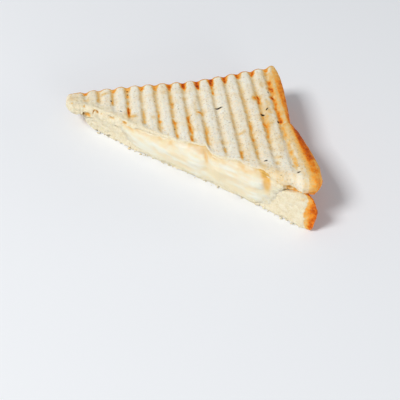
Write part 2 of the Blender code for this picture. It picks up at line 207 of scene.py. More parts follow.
@dataclass(frozen=True)
class LoafForm:
    """Driving dimensions of the pressed half, as its solids have them.

    While it is worked out, the back right corner of the bread is at x = 0, y = 0 and the rest at z = 0. X
    runs along the back crust and Y towards the back.
    """

    # Part's origin, and the outline in plan
    origin: Pair = (-56.80, -48.70)
    nose_x: float = -122.5
    lower_nose_x: float = -113.5
    nose_width: float = 11.5
    nose_curve: float = 5.0
    nose_curve_upper: float = 9.4
    nose_curve_back: float = 1.8
    cut_y: float = -95.0
    cut_slope: float = -0.74
    cut_turn: float = 1.5
    # Pressed plane: its height at x = 0, and its rise for each millimetre
    height: float = 26.5
    rise: float = 0.0963
    # Ribs of the press, and where their grooves fade
    pitch: float = 8.1
    first_groove_x: float = -111.0
    grooves: int = 14
    groove_depth: float = 1.15
    groove_half: float = 2.95
    cut_share: float = 0.1
    cut_margin: float = 0.5
    rim_share: float = 0.45
    rim: Pair = (1.2, 3.8)
    side_fade: Pair = (1.0, 3.0)
    drop_fade: Pair = (1.2, 3.2)
    scallop: float = 0.9
    # Crusts and rounded edges
    side_band: float = 3.0
    corner: float = 1.2
    bulge: float = 0.5
    lower_back: float = 0.6
    back_round: float = 3.0
    side_round: float = 3.6
    crown_round: float = 5.6
    nose_round: float = 3.0
    seam_round: float = 1.3
    # Shares of the height that the slices take, at the crusts and over the cheese
    crust_share: float = 0.43
    crust_share_lower: float = 0.55
    middle_share: float = 0.30
    middle_share_lower: float = 0.44
    sealed: float = 3.0
    share_reach: float = 9.0
    cut_reach: float = 8.0
    # Curled nose, and the waist between the loaf's side and its crown
    nose_lift: float = 3.6
    nose_lift_x: float = -100.0
    waist_y: float = -44.0
    waist_blend: float = 8.0
    # Rows gathered at both edges, and set back at the nose
    zone_width: float = 16.0
    zone_largest: float = 0.42
    zone_rows: float = 0.4
    zone_power: float = 2.2
    nose_middle: float = 0.55
    nose_length: float = 12.0
    # Outlines and thicknesses by place: the two sides go by y, all others by x
    lip: Points = (
        (-122, 3.0), (-108, 3.4), (-95, 2.8), (-82, 1.7), (-70, 1.1), (-48, 0.9), (-26, 1.0), (-20, 2.6),
        (-14, 4.4), (-8, 5.2), (0, 5.2),
    )
    upper_side: Points = (
        (-96, -0.5), (-93, 2.4), (-90, 6.0), (-86, 8.2), (-80, 8.5), (-70, 7.2), (-60, 5.3), (-52, 3.7),
        (-47.5, 1.6), (-45, 0.2), (-42, 0.5), (-34, 1.3), (-17, 2.6), (-5, 2.6), (4, 1.2),
    )
    lower_side: Points = (
        (-102, 2.2), (-99, 3.9), (-95, 3.2), (-88, 2.2), (-75, 3.0), (-60, 3.6), (-48, 1.2), (-45, 0.0),
        (-34, 1.2), (-17, 2.3), (-5, 2.2), (4, 1.0),
    )
    back_line: Points = (
        (-122, 2.8), (-106, 4.2), (-94, 3.5), (-80, 2.6), (-60, 1.6), (-42, 0.9), (-30, 1.9), (-20, 3.4),
        (-8, 4.2), (0, 4.6),
    )
    upper_edge: Points = (
        (-122, 5.5), (-110, 5.0), (-99, 2.7), (-87, 2.4), (-77, 2.2), (-66, 3.8), (-60, 2.8), (-50, 2.2),
        (-30, 2.4), (-18, 3.6), (-11, 6.0), (0, 6.5),
    )
    lower_edge: Points = (
        (-113, 8.2), (-104, 11.4), (-98, 12.0), (-91, 10.9), (-82, 9.2), (-60, 9.4), (-30, 10.8), (-18, 13.2),
        (-10, 17.4), (-4, 19.1), (0, 19.4),
    )
    base_out: Points = (
        (-113, -0.6), (-105, -0.6), (-99, -1.2), (-93, 0.4), (-85, 1.8), (-50, 2.0), (-37, 2.8), (-25, 3.4),
        (-10, 5.2), (0, 7.4),
    )
    top_out: Points = ((-40, 0.0), (-16, 0.8), (-9, 2.4), (0, 4.2))
    torn_step: Points = (
        (-62, 0.0), (-57, 1.2), (-52, 2.8), (-48.4, 4.0), (-47.5, 1.2), (-46.4, -1.5), (-43, -1.8),
        (-38, -0.4), (-35, 0.0), (-27, 0.0), (-23.5, 0.6), (-20, 0.2), (-16, 0.0), (-12, 0.1),
        (-9.5, 1.2), (-6.5, 2.1), (-3, 1.6), (0, 2.4), (6, 5.0),
    )
    apron: Points = (
        (-95, 0.0), (-92.5, 0.3), (-89, 0.7), (-84, 0.95), (-78, 1.0), (-24, 1.0), (-18, 0.9), (-14.5, 0.5),
        (-12, 0.1), (-10, 0.0),
    )
    closed: Points = ((-122, 1.0), (-90, 1.0), (-84, 0.0), (-21.5, 0.0), (-17.5, 1.0), (0, 1.0))
    fade_length: Points = (
        (-122, 11.0), (-96, 10.0), (-86, 7.0), (-76, 4.5), (-40, 5.5), (-20, 9.0), (-5, 12.0),
    )
    crumb_width: Points = (
        (-122, 8.5), (-100, 8.0), (-88, 6.0), (-78, 3.8), (-70, 1.8), (-60, 1.0), (-26, 0.9), (-22, 0.6),
        (0, 0.6),
    )

    @property
    def square_share(self) -> float:
        """How much of a step along Y is a step square to the cut."""
        return float(1 / np.hypot(1, self.cut_slope))

    def cut_line(self, x: Array) -> Array:
        """Y of the cut: the knife's straight stroke, blended softly into the blunt nose."""
        stroke = self.cut_y + self.cut_slope * x
        return -self.cut_turn * np.logaddexp(-stroke / self.cut_turn, self.nose_width / self.cut_turn)

    def pressed_plane(self, x: Array) -> Array:
        """Height of the upper pressed face, rising steadily to the right."""
        return self.height + self.rise * x

    def groove(self, x: Array, spread: Array | float = 1.0) -> Array:
        """One at the middle of each rib's groove, falling to nought on the crests.

        Args:
            x: station along the bread.
            spread: how many times its usual width a groove has.

        Returns:
            Half a cosine wave over the distance from the nearest groove's middle.
        """
        nearest = np.clip(np.round((x - self.first_groove_x) / self.pitch), 0, self.grooves - 1)
        off = np.abs(x - self.first_groove_x - self.pitch * nearest) / (self.groove_half * spread)
        return np.where(off < 1, 0.5 + 0.5 * np.cos(np.pi * np.clip(off, 0, 1)), 0.0)

    def depth_of_groove(self, x: Array, near: Edges, drop: Array) -> Array:
        """Depth of a groove: shallow at the cut and on the crust's rim, and gone on the rounded edges.

        Args:
            x: station along the bread.
            near: distances from the slice's edges.
            drop: how far a rounded edge has lowered each point.

        Returns:
            The full depth times a smooth share for each of these.
        """
        fading = smooth((near.cut - self.cut_margin) / along(x, self.fade_length))
        depth = self.groove_depth * (self.cut_share + (1 - self.cut_share) * fading)
        depth = depth * (self.rim_share + (1 - self.rim_share) * between(near.back, *self.rim))
        return depth * between(near.side, *self.side_fade) * (1 - between(drop, *self.drop_fade))

    def swell(self, x: Array, y: Array) -> Array:
        """The slow unevenness of pressed bread, from two crossed waves."""
        return 0.30 * np.sin(x / 13 + 0.9) * np.sin(y / 17 + 0.4) + 0.20 * np.sin(x / 7.3 + y / 11)

    def stiffness(self, x: Array, y: Array) -> Array:
        """One along the crust, where the slices are sealed, falling to nought over the cheese.

        Args:
            x: station along the bread.
            y: place from the cut towards the back.

        Returns:
            exp(-(distance past the sealed rim) / reach) at each point.
        """
        from_back = np.maximum(along(x, self.back_line) - y, 0)
        from_side = np.maximum(along(y, self.upper_side) - x, 0)
        return np.exp(-np.maximum(np.minimum(from_back, from_side) - self.sealed, 0) / self.share_reach)

    def near_cut(self, x: Array, y: Array) -> Array:
        """One at the cut, falling to nought inside."""
        return np.exp(-np.maximum((y - self.cut_line(x)) * self.square_share, 0) / self.cut_reach)

    def upper_inner(self, x: Array, y: Array) -> Array:
        """Underside of the upper slice: thin over the cheese, thick at the crusts, a lip at the cut.

        Args:
            x: station along the bread.
            y: place from the cut towards the back.

        Returns:
            Its height: the pressed plane less a share of that height, blended into the lip at the cut.
        """
        share = self.middle_share + (self.crust_share - self.middle_share) * self.stiffness(x, y)
        inside = self.pressed_plane(np.minimum(x, 0)) * share
        lip = (along(x, self.upper_edge) - inside) * self.near_cut(x, y)
        return self.pressed_plane(x) - inside - lip

    def lower_inner(self, x: Array, y: Array) -> Array:
        """Upper side of the lower slice.

        Args:
            x: station along the bread.
            y: place from the cut towards the back.

        Returns:
            Its height: a share of the pressed plane's height, blended into the edge at the cut.
        """
        gain = (self.crust_share_lower - self.middle_share_lower) * self.stiffness(x, y)
        inside = self.pressed_plane(np.minimum(x, 0)) * (self.middle_share_lower + gain)
        return inside + (along(x, self.lower_edge) - inside) * self.near_cut(x, y)

    def lip_radius(self, x: Array) -> Array:
        """Radius of the upper slice's edge along the cut."""
        return along(x, self.lip)

    def squashed(self, x: Array, from_cut: Array) -> Array:
        """One where the press has squashed both slices into one at the cut: left and right of the cheese."""
        return along(x, self.closed) * between(from_cut, 2.1, 1.0)

    def roll_share(self, x: Array) -> Array:
        """The largest share of the upper slice's thickness that its rounding along the cut takes."""
        return 0.6 + 0.2 * between(x, -22, -14)

    def rest_lift(self, x: Array) -> Array:
        """Height of the lower slice's pressed crests: nought, apart from the curled nose."""
        share = np.clip((self.nose_lift_x - x) / (self.nose_lift_x - self.lower_nose_x), 0, 1.4)
        return self.nose_lift * share**2

    def out_in_front(self, x: Array, level: Array) -> Array:
        """How far the lower slice's cut face stands out along -Y, at a share of its height."""
        base, top = along(x, self.base_out), along(x, self.top_out)
        return top + (base - top) * (1 - np.clip(level, 0, 1))

    def across(self, v: Array, width: Array) -> Array:
        """Turns a share from front to back into millimetres, with the rows gathered at both edges.

        Args:
            v: share from the front, 0, to the back, 1.
            width: the distance between them.

        Returns:
            Distance from the front: a power of the share in each edge zone, and a straight line between them.
        """
        zone = np.minimum(self.zone_width, self.zone_largest * width)
        share = self.zone_rows
        front = zone * (np.clip(v, 0, share) / share) ** self.zone_power
        back = width - zone * (np.clip(1 - v, 0, share) / share) ** self.zone_power
        middle = zone + (width - 2 * zone) * (v - share) / (1 - 2 * share)
        return np.where(v < share, front, np.where(v > 1 - share, back, middle))

    def nose_setback(self, x: Array, v: Array, nose: float, curve: float) -> Array:
        """How far each row of the blunt end starts behind its furthest point, in plan.

        Args:
            x: station along the bread.
            v: share from the cut to the back.
            nose: station of the furthest point.
            curve: setback at the cut.

        Returns:
            A power of the distance from the nose's middle row, fading along the nose's length.
        """
        middle = self.nose_middle
        ahead = curve * np.clip(1 - v / middle, 0, 1) ** 2.2
        behind = self.nose_curve_back * np.clip((v - middle) / (1 - middle), 0, 1) ** 2
        return (ahead + behind) * np.clip(1 - (x - nose) / self.nose_length, 0, 1) ** 2

    def crust_line(self, x: Array, x_in: Array, w: Array, pressed_share: Array) -> Array:
        """Y of the back crust, with its bulge, its scallops at the grooves and its rounded right corner.

        Args:
            x: real place along the bread.
            x_in: station before the outline is applied.
            w: share from the underside to the top.
            pressed_share: how near each point is to the pressed face, 0 to 1.

        Returns:
            The back line, with a parabola added over the thickness, and scallops and corner taken off.
        """
        corner = self.corner * (1 - np.sqrt(1 - np.clip(1 + x_in / self.corner, 0, 1) ** 2))
        stands_out = self.bulge * (1 - (2 * w - 1) ** 2)
        scallops = self.scallop * self.groove(x, 1.2) * pressed_share
        return along(x, self.back_line) + stands_out - scallops - corner


def rounded(near: tuple[Array, ...], radii: tuple[Array | float, ...]) -> Array:
    """Drop of an edge rounded to a quarter circle.

    Args:
        near: distance of each point from each of several edges.
        radii: the radius of each of those edges.

    Returns:
        r (1 - sqrt(1 - s^2)), where s^2 sums ((r - distance) / r)^2 over the edges and r is their mean,
        weighted by their parts of that sum.
    """
    shares = [np.clip(1 - d / r, 0, 1) for d, r in zip(near, radii)]
    total = sum(s**2 for s in shares)
    radius = sum(r * s**2 for r, s in zip(radii, shares)) / np.maximum(total, 1e-9)
    return radius * (1 - np.sqrt(1 - np.clip(total, 0, 1)))


@dataclass
class Skin:
    """A closed surface: its points in millimetres, its faces, and a mask or more for its finish."""

    points: Array
    faces: list[Array]
    masks: dict[str, Array] = field(default_factory=dict)

    def normals(self) -> Array:
        """Outward direction at each point.

        Returns:
            The sum of the crossed diagonals of its faces, made one long.
        """
        total = np.zeros_like(self.points)
        for corners in self.faces:
            last = corners.shape[1] - 1
            a = self.points[corners[:, last - 1]] - self.points[corners[:, 0]]
            b = self.points[corners[:, last]] - self.points[corners[:, last - 2]]
            facing = np.cross(a, b)
            for k in range(last + 1):
                for axis in range(3):
                    total[:, axis] += np.bincount(corners[:, k], facing[:, axis], len(total))
        return total / np.maximum(np.linalg.norm(total, axis=1, keepdims=True), 1e-12)

    def push(self, distance: Array) -> None:
        """Moves each point outwards by its distance, in millimetres."""
        self.points = self.points + self.normals() * distance[:, None]

    def to_object(self, name: str, form: LoafForm, material: bpy.types.Material) -> bpy.types.Object:
        """Makes the mesh, in metres from the part's origin.

        Args:
            name: the piece's name.
            form: gives the part's origin.
            material: the piece's finish.

        Returns:
            The new object, linked to the scene, with one float attribute for each mask.
        """
        mesh = bpy.data.meshes.new(name)
        places = (self.points - (*form.origin, 0.0)) * MM
        sizes = np.concatenate([np.full(len(f), f.shape[1]) for f in self.faces])
        corners = np.concatenate([f.ravel() for f in self.faces])
        mesh.vertices.add(len(places))
        mesh.vertices.foreach_set("co", places.astype(np.float32).ravel())
        mesh.loops.add(len(corners))
        mesh.loops.foreach_set("vertex_index", corners.astype(np.int32))
        mesh.polygons.add(len(sizes))
        mesh.polygons.foreach_set("loop_start", np.concatenate([[0], np.cumsum(sizes)[:-1]]).astype(np.int32))
        mesh.update(calc_edges=True)
        mesh.validate()
        mesh.shade_smooth()
        for label, values in self.masks.items():
            layer = mesh.attributes.new(label, "FLOAT", "POINT")
            layer.data.foreach_set("value", np.clip(values, 0, 1).astype(np.float32))
        mesh.materials.append(material)
        made = bpy.data.objects.new(name, mesh)
        bpy.context.scene.collection.objects.link(made)
        return made


@dataclass(frozen=True)
class BlockGrid:
    """Stations of a block: x along the bread, v from the cut to the back, w from the underside to the top.

    The underside keeps every coarse-th station only, where it is hidden.
    """

    x: Array
    v: Array
    w: Array
    coarse: int = 1

    def skin(self) -> Skin:
        """The block's outside as a closed surface.

        Returns:
            The surface, whose points are still (x, v, w) stations, with its faces outwards.
        """
        shape = (len(self.x), len(self.v), len(self.w))
        kept = np.zeros(shape, bool)
        kept[[0, -1]] = True
        kept[:, [0, -1]] = True
        kept[:, :, -1] = True
        kept[:, :, 0] = False
        kept[:: self.coarse, :: self.coarse, 0] = True
        index = np.full(shape, -1)
        index[kept] = np.arange(kept.sum())
        i, j, k = np.nonzero(kept)
        points = np.column_stack([self.x[i], self.v[j], self.w[k]])
        faces = [self.quads(index[:, :, -1], True)]
        faces.append(self.quads(index[:: self.coarse, :: self.coarse, 0], False))
        for wall, outwards in (
            (index[:, 0], True), (index[:, -1], False), (index[0], False), (index[-1], True),
        ):
            faces.append(self.quads(wall[:, 1:], outwards))
            faces.extend(self.foot(wall[:, 1], wall[:: self.coarse, 0], outwards))
        return Skin(points, faces)

    @staticmethod
    def quads(grid: Array, outwards: bool) -> Array:
        """Faces of a grid of point numbers, turned round where it would face inwards."""
        made = np.stack([grid[:-1, :-1], grid[1:, :-1], grid[1:, 1:], grid[:-1, 1:]], axis=-1).reshape(-1, 4)
        return made if outwards else made[:, ::-1]

    def foot(self, fine: Array, coarse: Array, outwards: bool) -> list[Array]:
        """Triangles that join a wall's lowest fine row to the coarse row under it.

        Args:
            fine: point numbers of the fine row.
            coarse: point numbers of the coarse row.
            outwards: False turns the triangles round.

        Returns:
            One array of triangles or more: for each coarse edge, a fan from its first end over the first half
            of the fine row, one from its second end over the rest, and one triangle between the two.
        """
        step, half = self.coarse, self.coarse // 2
        first, second = coarse[:-1], coarse[1:]
        made = [np.stack([first, second, fine[half::step][: len(first)]], axis=1)]
        for t in range(step):
            end = first if t < half else second
            right = fine[t + 1 :: step][: len(end)]
            left = fine[t::step][: len(end)]
            made.append(np.stack([end, right, left], axis=1))
        return made if outwards else [m[:, ::-1] for m in made]


class SliceKind(Enum):
    """Which of the two slices."""

    UPPER = "top_slice"
    LOWER = "bottom_slice"


@dataclass(frozen=True)
class SliceFields:
    """What is known at each point of a slice's skin."""

    x: Array
    y: Array
    z: Array
    w: Array
    near: Edges
    groove: Array


@dataclass(frozen=True)
class RibMark:
    """Browning that one rib of the press has left: strengths, and y where each stretch starts and ends."""

    wedge: float
    wedge_length: float
    body: float
    body_end: float
    streaks: tuple[Triple, ...] = ()
    broad: float = 1.0

    def wide(self, y: Array) -> Array:
        """Strength of the broad tan stripe, which fades out before the cut."""
        return self.body * between(y, self.body_end - 3, self.body_end + 5)

    def narrow(self, y: Array) -> Array:
        """Strength of the narrow brown streaks in it.

        Args:
            y: place from the cut towards the back.

        Returns:
            Each streak's strength along its own stretch, with soft ends.
        """
        total = np.zeros_like(y)
        for start, end, strength in self.streaks:
            stretch = between(y, start + 1.5, start - 1.8) * between(y, end - 2.4, end + 1.8)
            total = np.maximum(total, strength * stretch)
        return total


@dataclass(frozen=True)
class Slit:
    """A small dark tear or tan spot in the toasted face: its middle, half sizes, turn and darkness."""

    x: float
    y: float
    long: float
    wide: float
    turn: float
    dark: float

    def share(self, f: SliceFields) -> Array:
        """Its darkness at each point, falling softly outside its oval."""
        return self.dark * blob(f.x, f.y, (self.x, self.y), (self.long, self.wide), self.turn)


@dataclass(frozen=True)
class Browning:
    """Where the upper face and its crusts are toasted, from 0, pale, to 1, nearly burnt."""

    form: LoafForm
    marks: tuple[RibMark, ...] = (
        RibMark(0.40, 4, 0.20, -6),
        RibMark(0.30, 4, 0.22, -8, ((-2, -9, 0.26),)),
        RibMark(0.44, 7, 0.22, -11, ((2, -12, 0.34),)),
        RibMark(0.46, 8, 0.24, -21, ((2, -8, 0.44), (-9, -15, 0.34), (-15, -24, 0.54))),
        RibMark(0.56, 8, 0.18, -26, ((-20, -30, 0.28),)),
        RibMark(0.56, 9, 0.22, -40, ((-22, -32, 0.54), (-33, -38, 0.36))),
        RibMark(0.58, 9, 0.22, -42, ((-10, -22, 0.26), (-30, -46, 0.38))),
        RibMark(0.62, 10, 0.18, -47, ((-29, -40, 0.50), (-38, -51, 0.48)), 1.25),
        RibMark(0.65, 11, 0.15, -50, ((-37, -54, 0.30),)),
        RibMark(0.72, 11, 0.13, -58, ((-7, -15, 0.48), (-58, -64, 0.30))),
        RibMark(0.62, 10, 0.15, -64, ((-62, -69, 0.36),)),
        RibMark(0.60, 9, 0.20, -66, ((-38, -56, 0.30), (-62, -70, 0.34))),
        RibMark(0.60, 8, 0.20, -64, ((-20, -28, 0.46), (-33, -55, 0.44)), 1.3),
        RibMark(0.48, 6, 0.28, -78, ((-8, -46, 0.54), (-47, -80, 0.31)), 1.6),
    )
    slits: tuple[Slit, ...] = (
        Slit(-37.2, -26.8, 1.9, 0.6, -6, 0.95),
        Slit(-11.1, -33.2, 1.0, 0.45, 50, 0.85),
        Slit(-14.2, -36.9, 1.1, 0.75, -20, 0.95),
        Slit(-7.6, -19.0, 0.8, 0.35, -70, 0.7),
        Slit(-6.8, -44.1, 0.9, 0.5, -80, 0.85),
        Slit(-4.2, -83.2, 1.1, 0.4, 15, 0.8),
        Slit(-19.2, -72.1, 1.0, 0.45, 5, 0.8),
        Slit(-13.2, -83.0, 0.6, 0.3, -20, 0.4),
        Slit(-86.8, -2.0, 0.4, 0.5, 0, 0.75),
        Slit(-86.8, -5.0, 0.4, 0.5, 0, 0.75),
        Slit(-86.6, -11.0, 0.35, 0.4, 0, 0.65),
        Slit(-96.6, -9.0, 0.45, 0.5, 0, 0.9),
        Slit(-91.6, -19.0, 0.9, 0.35, -35, 0.6),
        Slit(-59.6, -23.6, 0.4, 0.4, 0, 0.6),
        Slit(-63.2, -38.6, 0.4, 0.6, 0, 0.6),
        Slit(-20.0, -49.0, 0.4, 0.3, 0, 0.5),
        Slit(-83.4, -9.0, 0.4, 0.3, 0, 0.5),
        Slit(-52.9, -30.0, 0.4, 0.3, 0, 0.5),
        Slit(-32.8, -40.0, 0.3, 0.5, 0, 0.5),
    )
    spots: tuple[Slit, ...] = (
        Slit(-48.2, -28.6, 2.3, 0.9, -12, 0.48),
        Slit(-47.0, -30.2, 0.9, 0.9, 0, 0.42),
        Slit(-40.0, -44.2, 1.3, 1.3, 0, 0.36),
        Slit(-30.7, -26.0, 0.6, 6.0, 0, 0.28),
        Slit(-27.8, -49.2, 3.0, 1.2, 30, 0.20),
        Slit(-16.2, -22.9, 1.9, 2.2, 20, 0.44),
        Slit(-22.6, -55.0, 1.3, 2.0, 0, 0.44),
        Slit(-22.5, -64.4, 1.2, 2.0, 0, 0.36),
        Slit(-13.3, -74.2, 1.2, 1.4, 0, 0.26),
        Slit(-4.4, -75.0, 0.9, 6.0, 0, 0.20),
        Slit(-9.8, -36.0, 2.6, 13.0, -6, 0.20),
        Slit(-12.4, -42.0, 2.0, 8.0, -6, 0.27),
        Slit(-5.4, -5.0, 3.4, 9.0, -6, 0.22),
        Slit(-9.6, -10.0, 2.0, 7.0, -6, 0.16),
        Slit(-8.5, -58.0, 2.2, 9.0, -6, 0.17),
        Slit(-113.0, -5.0, 6.0, 4.0, 0, 0.12),
        Slit(-115.4, -5.4, 2.0, 1.2, 0, 0.18),
        Slit(-118.8, -7.6, 0.8, 0.7, 0, 0.22),
        Slit(-49.6, -26.0, 1.6, 12.0, -5, 0.15),
        Slit(-55.2, -14.0, 1.4, 8.0, -5, 0.16),
        Slit(-72.0, -10.0, 1.6, 6.0, 0, 0.20),
        Slit(-73.6, -27.5, 2.2, 1.6, -30, 0.26),
        Slit(-86.0, -23.6, 3.2, 1.0, -25, 0.20),
        Slit(-99.4, -2.4, 2.4, 1.2, 0, 0.30),
        Slit(-66.0, -6.0, 3.0, 4.0, 0, 0.16),
        Slit(-11.6, -70.6, 2.6, 1.0, -20, 0.18),
    )
    # Stripes and streaks in the grooves, set left of each groove's middle on the flank that faces away from
    # the key light, which is partly painted flank shade; the last groove's lean sideways as they go
    stripe_half: float = 1.35
    stripe_shade_shift: float = -0.75
    streak_half: float = 0.95
    streak_shade_shift: float = -0.5
    last_off: float = 0.5
    last_lean: float = 1.3
    last_bend: Pair = (-44, -76)
    wander: float = 0.3
    # Wedges at the back crust
    wedge_point: float = 0.35
    wedge_spread: float = 2.9
    wedge_core: float = 0.14
    # Back crust
    arch: float = 0.50
    arch_along: Points = ((-122, 0.8), (-80, 0.95), (-36, 1.1), (-12, 1.2), (-6, 0.7))
    rim_line: float = 0.14
    wall: float = 0.16
    # Side crust
    side: Points = ((-46, 0.60), (-30, 0.62), (-12, 0.58), (-4, 0.46), (4, 0.32))
    side_inner: float = -2.1
    side_fringe: float = 0.42
    side_end: Pair = (-47.8, -46.2)
    flank: float = 0.56
    # Crown crust
    crown_inner: Points = ((-98, -1.4), (-90, 0.9), (-80, 0.6), (-65, -0.6), (-50, -1.8), (-46, -2.4))
    crown_fringe: float = 0.40
    crown_reach: Points = ((-98, -1.6), (-84, -2.0), (-72, -3.0), (-50, -4.4))
    crown_dark: Points = (
        (-98, -0.04), (-92, 0.0), (-86, 0.05), (-75, 0.18), (-60, 0.28), (-50, 0.29), (-47, 0.14),
    )
    crown_dark_width: float = 3.9
    crown_rest: float = 0.10
    crown_start: Pair = (-44.8, -46.4)
    # Line across the waist, and the strip beside the last groove
    waist: float = 0.40
    waist_y: float = -46.8
    waist_half: float = 0.9
    strip: float = 0.33
    strip_low: float = 0.16
    # Whole face and its cut edge
    base: float = 0.03
    warm: float = 0.06
    clouds: float = 0.09
    flecks: float = 0.30
    # sealed browns the seam at the foot of the tip's cut: partly painted seam shade
    sealed: float = 0.50
    rolled: float = 0.15

    def ribs(self, f: SliceFields, wander: Array, broken: Array) -> Array:
        """Tan stripes in the grooves, narrow streaks in them, and brown wedges at the back crust.

        Args:
            f: the points.
            wander: sideways unevenness of the stripes.
            broken: unevenness of -1 to 1 that breaks the streaks up.

        Returns:
            For each point the strongest of strength x exp(-(off / half width)^2) over the grooves; a wedge's
            half width grows in a straight line towards the crust, and its middle is darkest.
        """
        total = np.zeros_like(f.x)
        for n, mark in enumerate(self.marks):
            off = f.x - (self.form.first_groove_x + self.form.pitch * n) - self.wander * wander
            if n == len(self.marks) - 1:
                off = off - self.last_off - self.last_lean * between(f.y, *self.last_bend)
            stripe = bell(off - self.stripe_shade_shift, self.stripe_half) * mark.wide(f.y)
            ragged = self.streak_half * mark.broad * (1 + 0.75 * broken)
            streak = bell(off - self.streak_shade_shift, ragged) * mark.narrow(f.y) * (1 + 0.5 * broken)
            left = np.clip(1 - (f.near.back + 1.4 * broken) / mark.wedge_length, 0, 1)
            half = self.wedge_point + (self.wedge_spread + 0.7 * wander) * left
            across = (off + self.wedge_point * left) / half
            core = self.wedge_core * bell(left - 0.45, 0.2)
            shape = np.exp(-(across**4)) - 0.25 * smooth(np.abs(across)) + core
            total = np.maximum.reduce([total, stripe, streak, mark.wedge * shape * smooth(left * 2.0)])
        return total

    def back_crust(self, f: SliceFields, mottle: Array) -> Array:
        """Browning of the back crust: its rim, a darker line on top of it, and its wall.

        Args:
            f: the points.
            mottle: unevenness of -1 to 1 of its borders.

        Returns:
            The three added up, each rising smoothly across its border.
        """
        rim = self.arch * along(f.x, self.arch_along) * between(f.near.back + 0.7 * mottle, 2.9, 1.7)
        line = self.rim_line * between(f.near.back + 0.6 * mottle, 1.7, 0.6) * between(f.w, 0.8, 1.0)
        return rim + line + self.wall * between(f.w, 1.0, 0.6) * between(f.near.back, 3, 0)

    def side_crust(self, f: SliceFields, mottle: Array) -> Array:
        """Browning of the loaf's side: a fringe and then the full crust, as far as the waist.

        Args:
            f: the points.
            mottle: unevenness of -1 to 1 of its borders.

        Returns:
            The strength along the side, shared out over two smooth steps.
        """
        edge = f.x - self.side_inner - 0.5 * mottle
        full = (1 - self.side_fringe) * between(edge, -0.8, 1.0)
        steps = self.side_fringe * between(edge, -2.6, -0.6) + full
        return along(f.y, self.side) * steps * between(f.y + 0.5 * mottle, *self.side_end)

    def crown_crust(self, f: SliceFields, mottle: Array) -> Array:
        """Browning of the loaf's crown: a fringe, a dark band and the rest of the crust outside it.

        Args:
            f: the points.
            mottle: unevenness of -1 to 1 of its borders.

        Returns:
            The three added up, from the waist to the tip.
        """
        edge = f.x - along(f.y, self.crown_inner) - 0.8 * mottle
        reach = along(f.y, self.crown_reach)
        fringe = 0.6 * between(edge, reach, reach + 1.6) + 0.4 * between(edge, -1.4, 0.8)
        width = self.crown_dark_width
        band = between(edge, 0.6, 1.5) * between(edge, width + 2.2, width) * along(f.y, self.crown_dark)
        crown = self.crown_fringe * fringe + band + self.crown_rest * between(edge, 1.0, 3.0)
        return crown * between(f.y + 0.6 * mottle, *self.crown_start)

    def crusts(self, f: SliceFields, mottle: Array) -> Array:
        """Browning of every crust, with mottled borders.

        Args:
            f: the points.
            mottle: unevenness of -1 to 1 of the borders.

        Returns:
            The strongest of the crusts, the line across the waist and the strip beside the last groove.
        """
        waist = self.waist * bell(f.y - self.waist_y, self.waist_half) * between(f.x, -6.5, -4.5)
        strip = self.strip * between(f.x, -5.6, -4.2) * between(f.y, -48, -42) * between(f.y, 4, -8)
        strip = strip + self.strip_low * between(f.x, -5.0, -2.0) * between(f.y, -44, -48)
        flank = self.flank * between(f.near.side, 1.4, 0.4) * between(f.w, 0.95, 0.75)
        crusts = [make(f, mottle) for make in (self.back_crust, self.side_crust, self.crown_crust)]
        return np.maximum.reduce([*crusts, waist, strip, flank])

    def spread(self, f: SliceFields) -> Array:
        """Browning of the odd tan spots on and beside the ridges."""
        return np.maximum.reduce([spot.share(f) for spot in self.spots])

    def tears(self, f: SliceFields) -> Array:
        """Darkness of the slits and specks."""
        return np.maximum.reduce([slit.share(f) for slit in self.slits])


@dataclass(frozen=True)
class Hollow:
    """A torn hollow along the cut: middle, half sizes, turn in plan, depth, and how brown and dark it is; the
    brown is partly painted shade in the hollow, and the darkness is painted shade in it.
    """

    middle: Triple
    size: Triple
    turn: float
    deep: float
    brown: float
    dark: float = 0.0

    def share(self, places: Array) -> Array:
        """One in the hollow's middle, falling softly to nought outside its oval."""
        flat = blob(places[:, 0], places[:, 1], self.middle[:2], self.size[:2], self.turn)
        return flat * bell(places[:, 2] - self.middle[2], self.size[2])


@dataclass(frozen=True)
class LowerTones:
    """How strongly each part of the lower slice is browned, from 0, pale, to 1, nearly burnt."""

    fringe: float = 0.42
    side: float = 0.30
    patch: float = 0.14
    flank: float = 0.62
    ledge: float = 0.24
    back: float = 0.58
    under: float = 0.10
    grooves: float = 0.38
    specks: float = 0.34


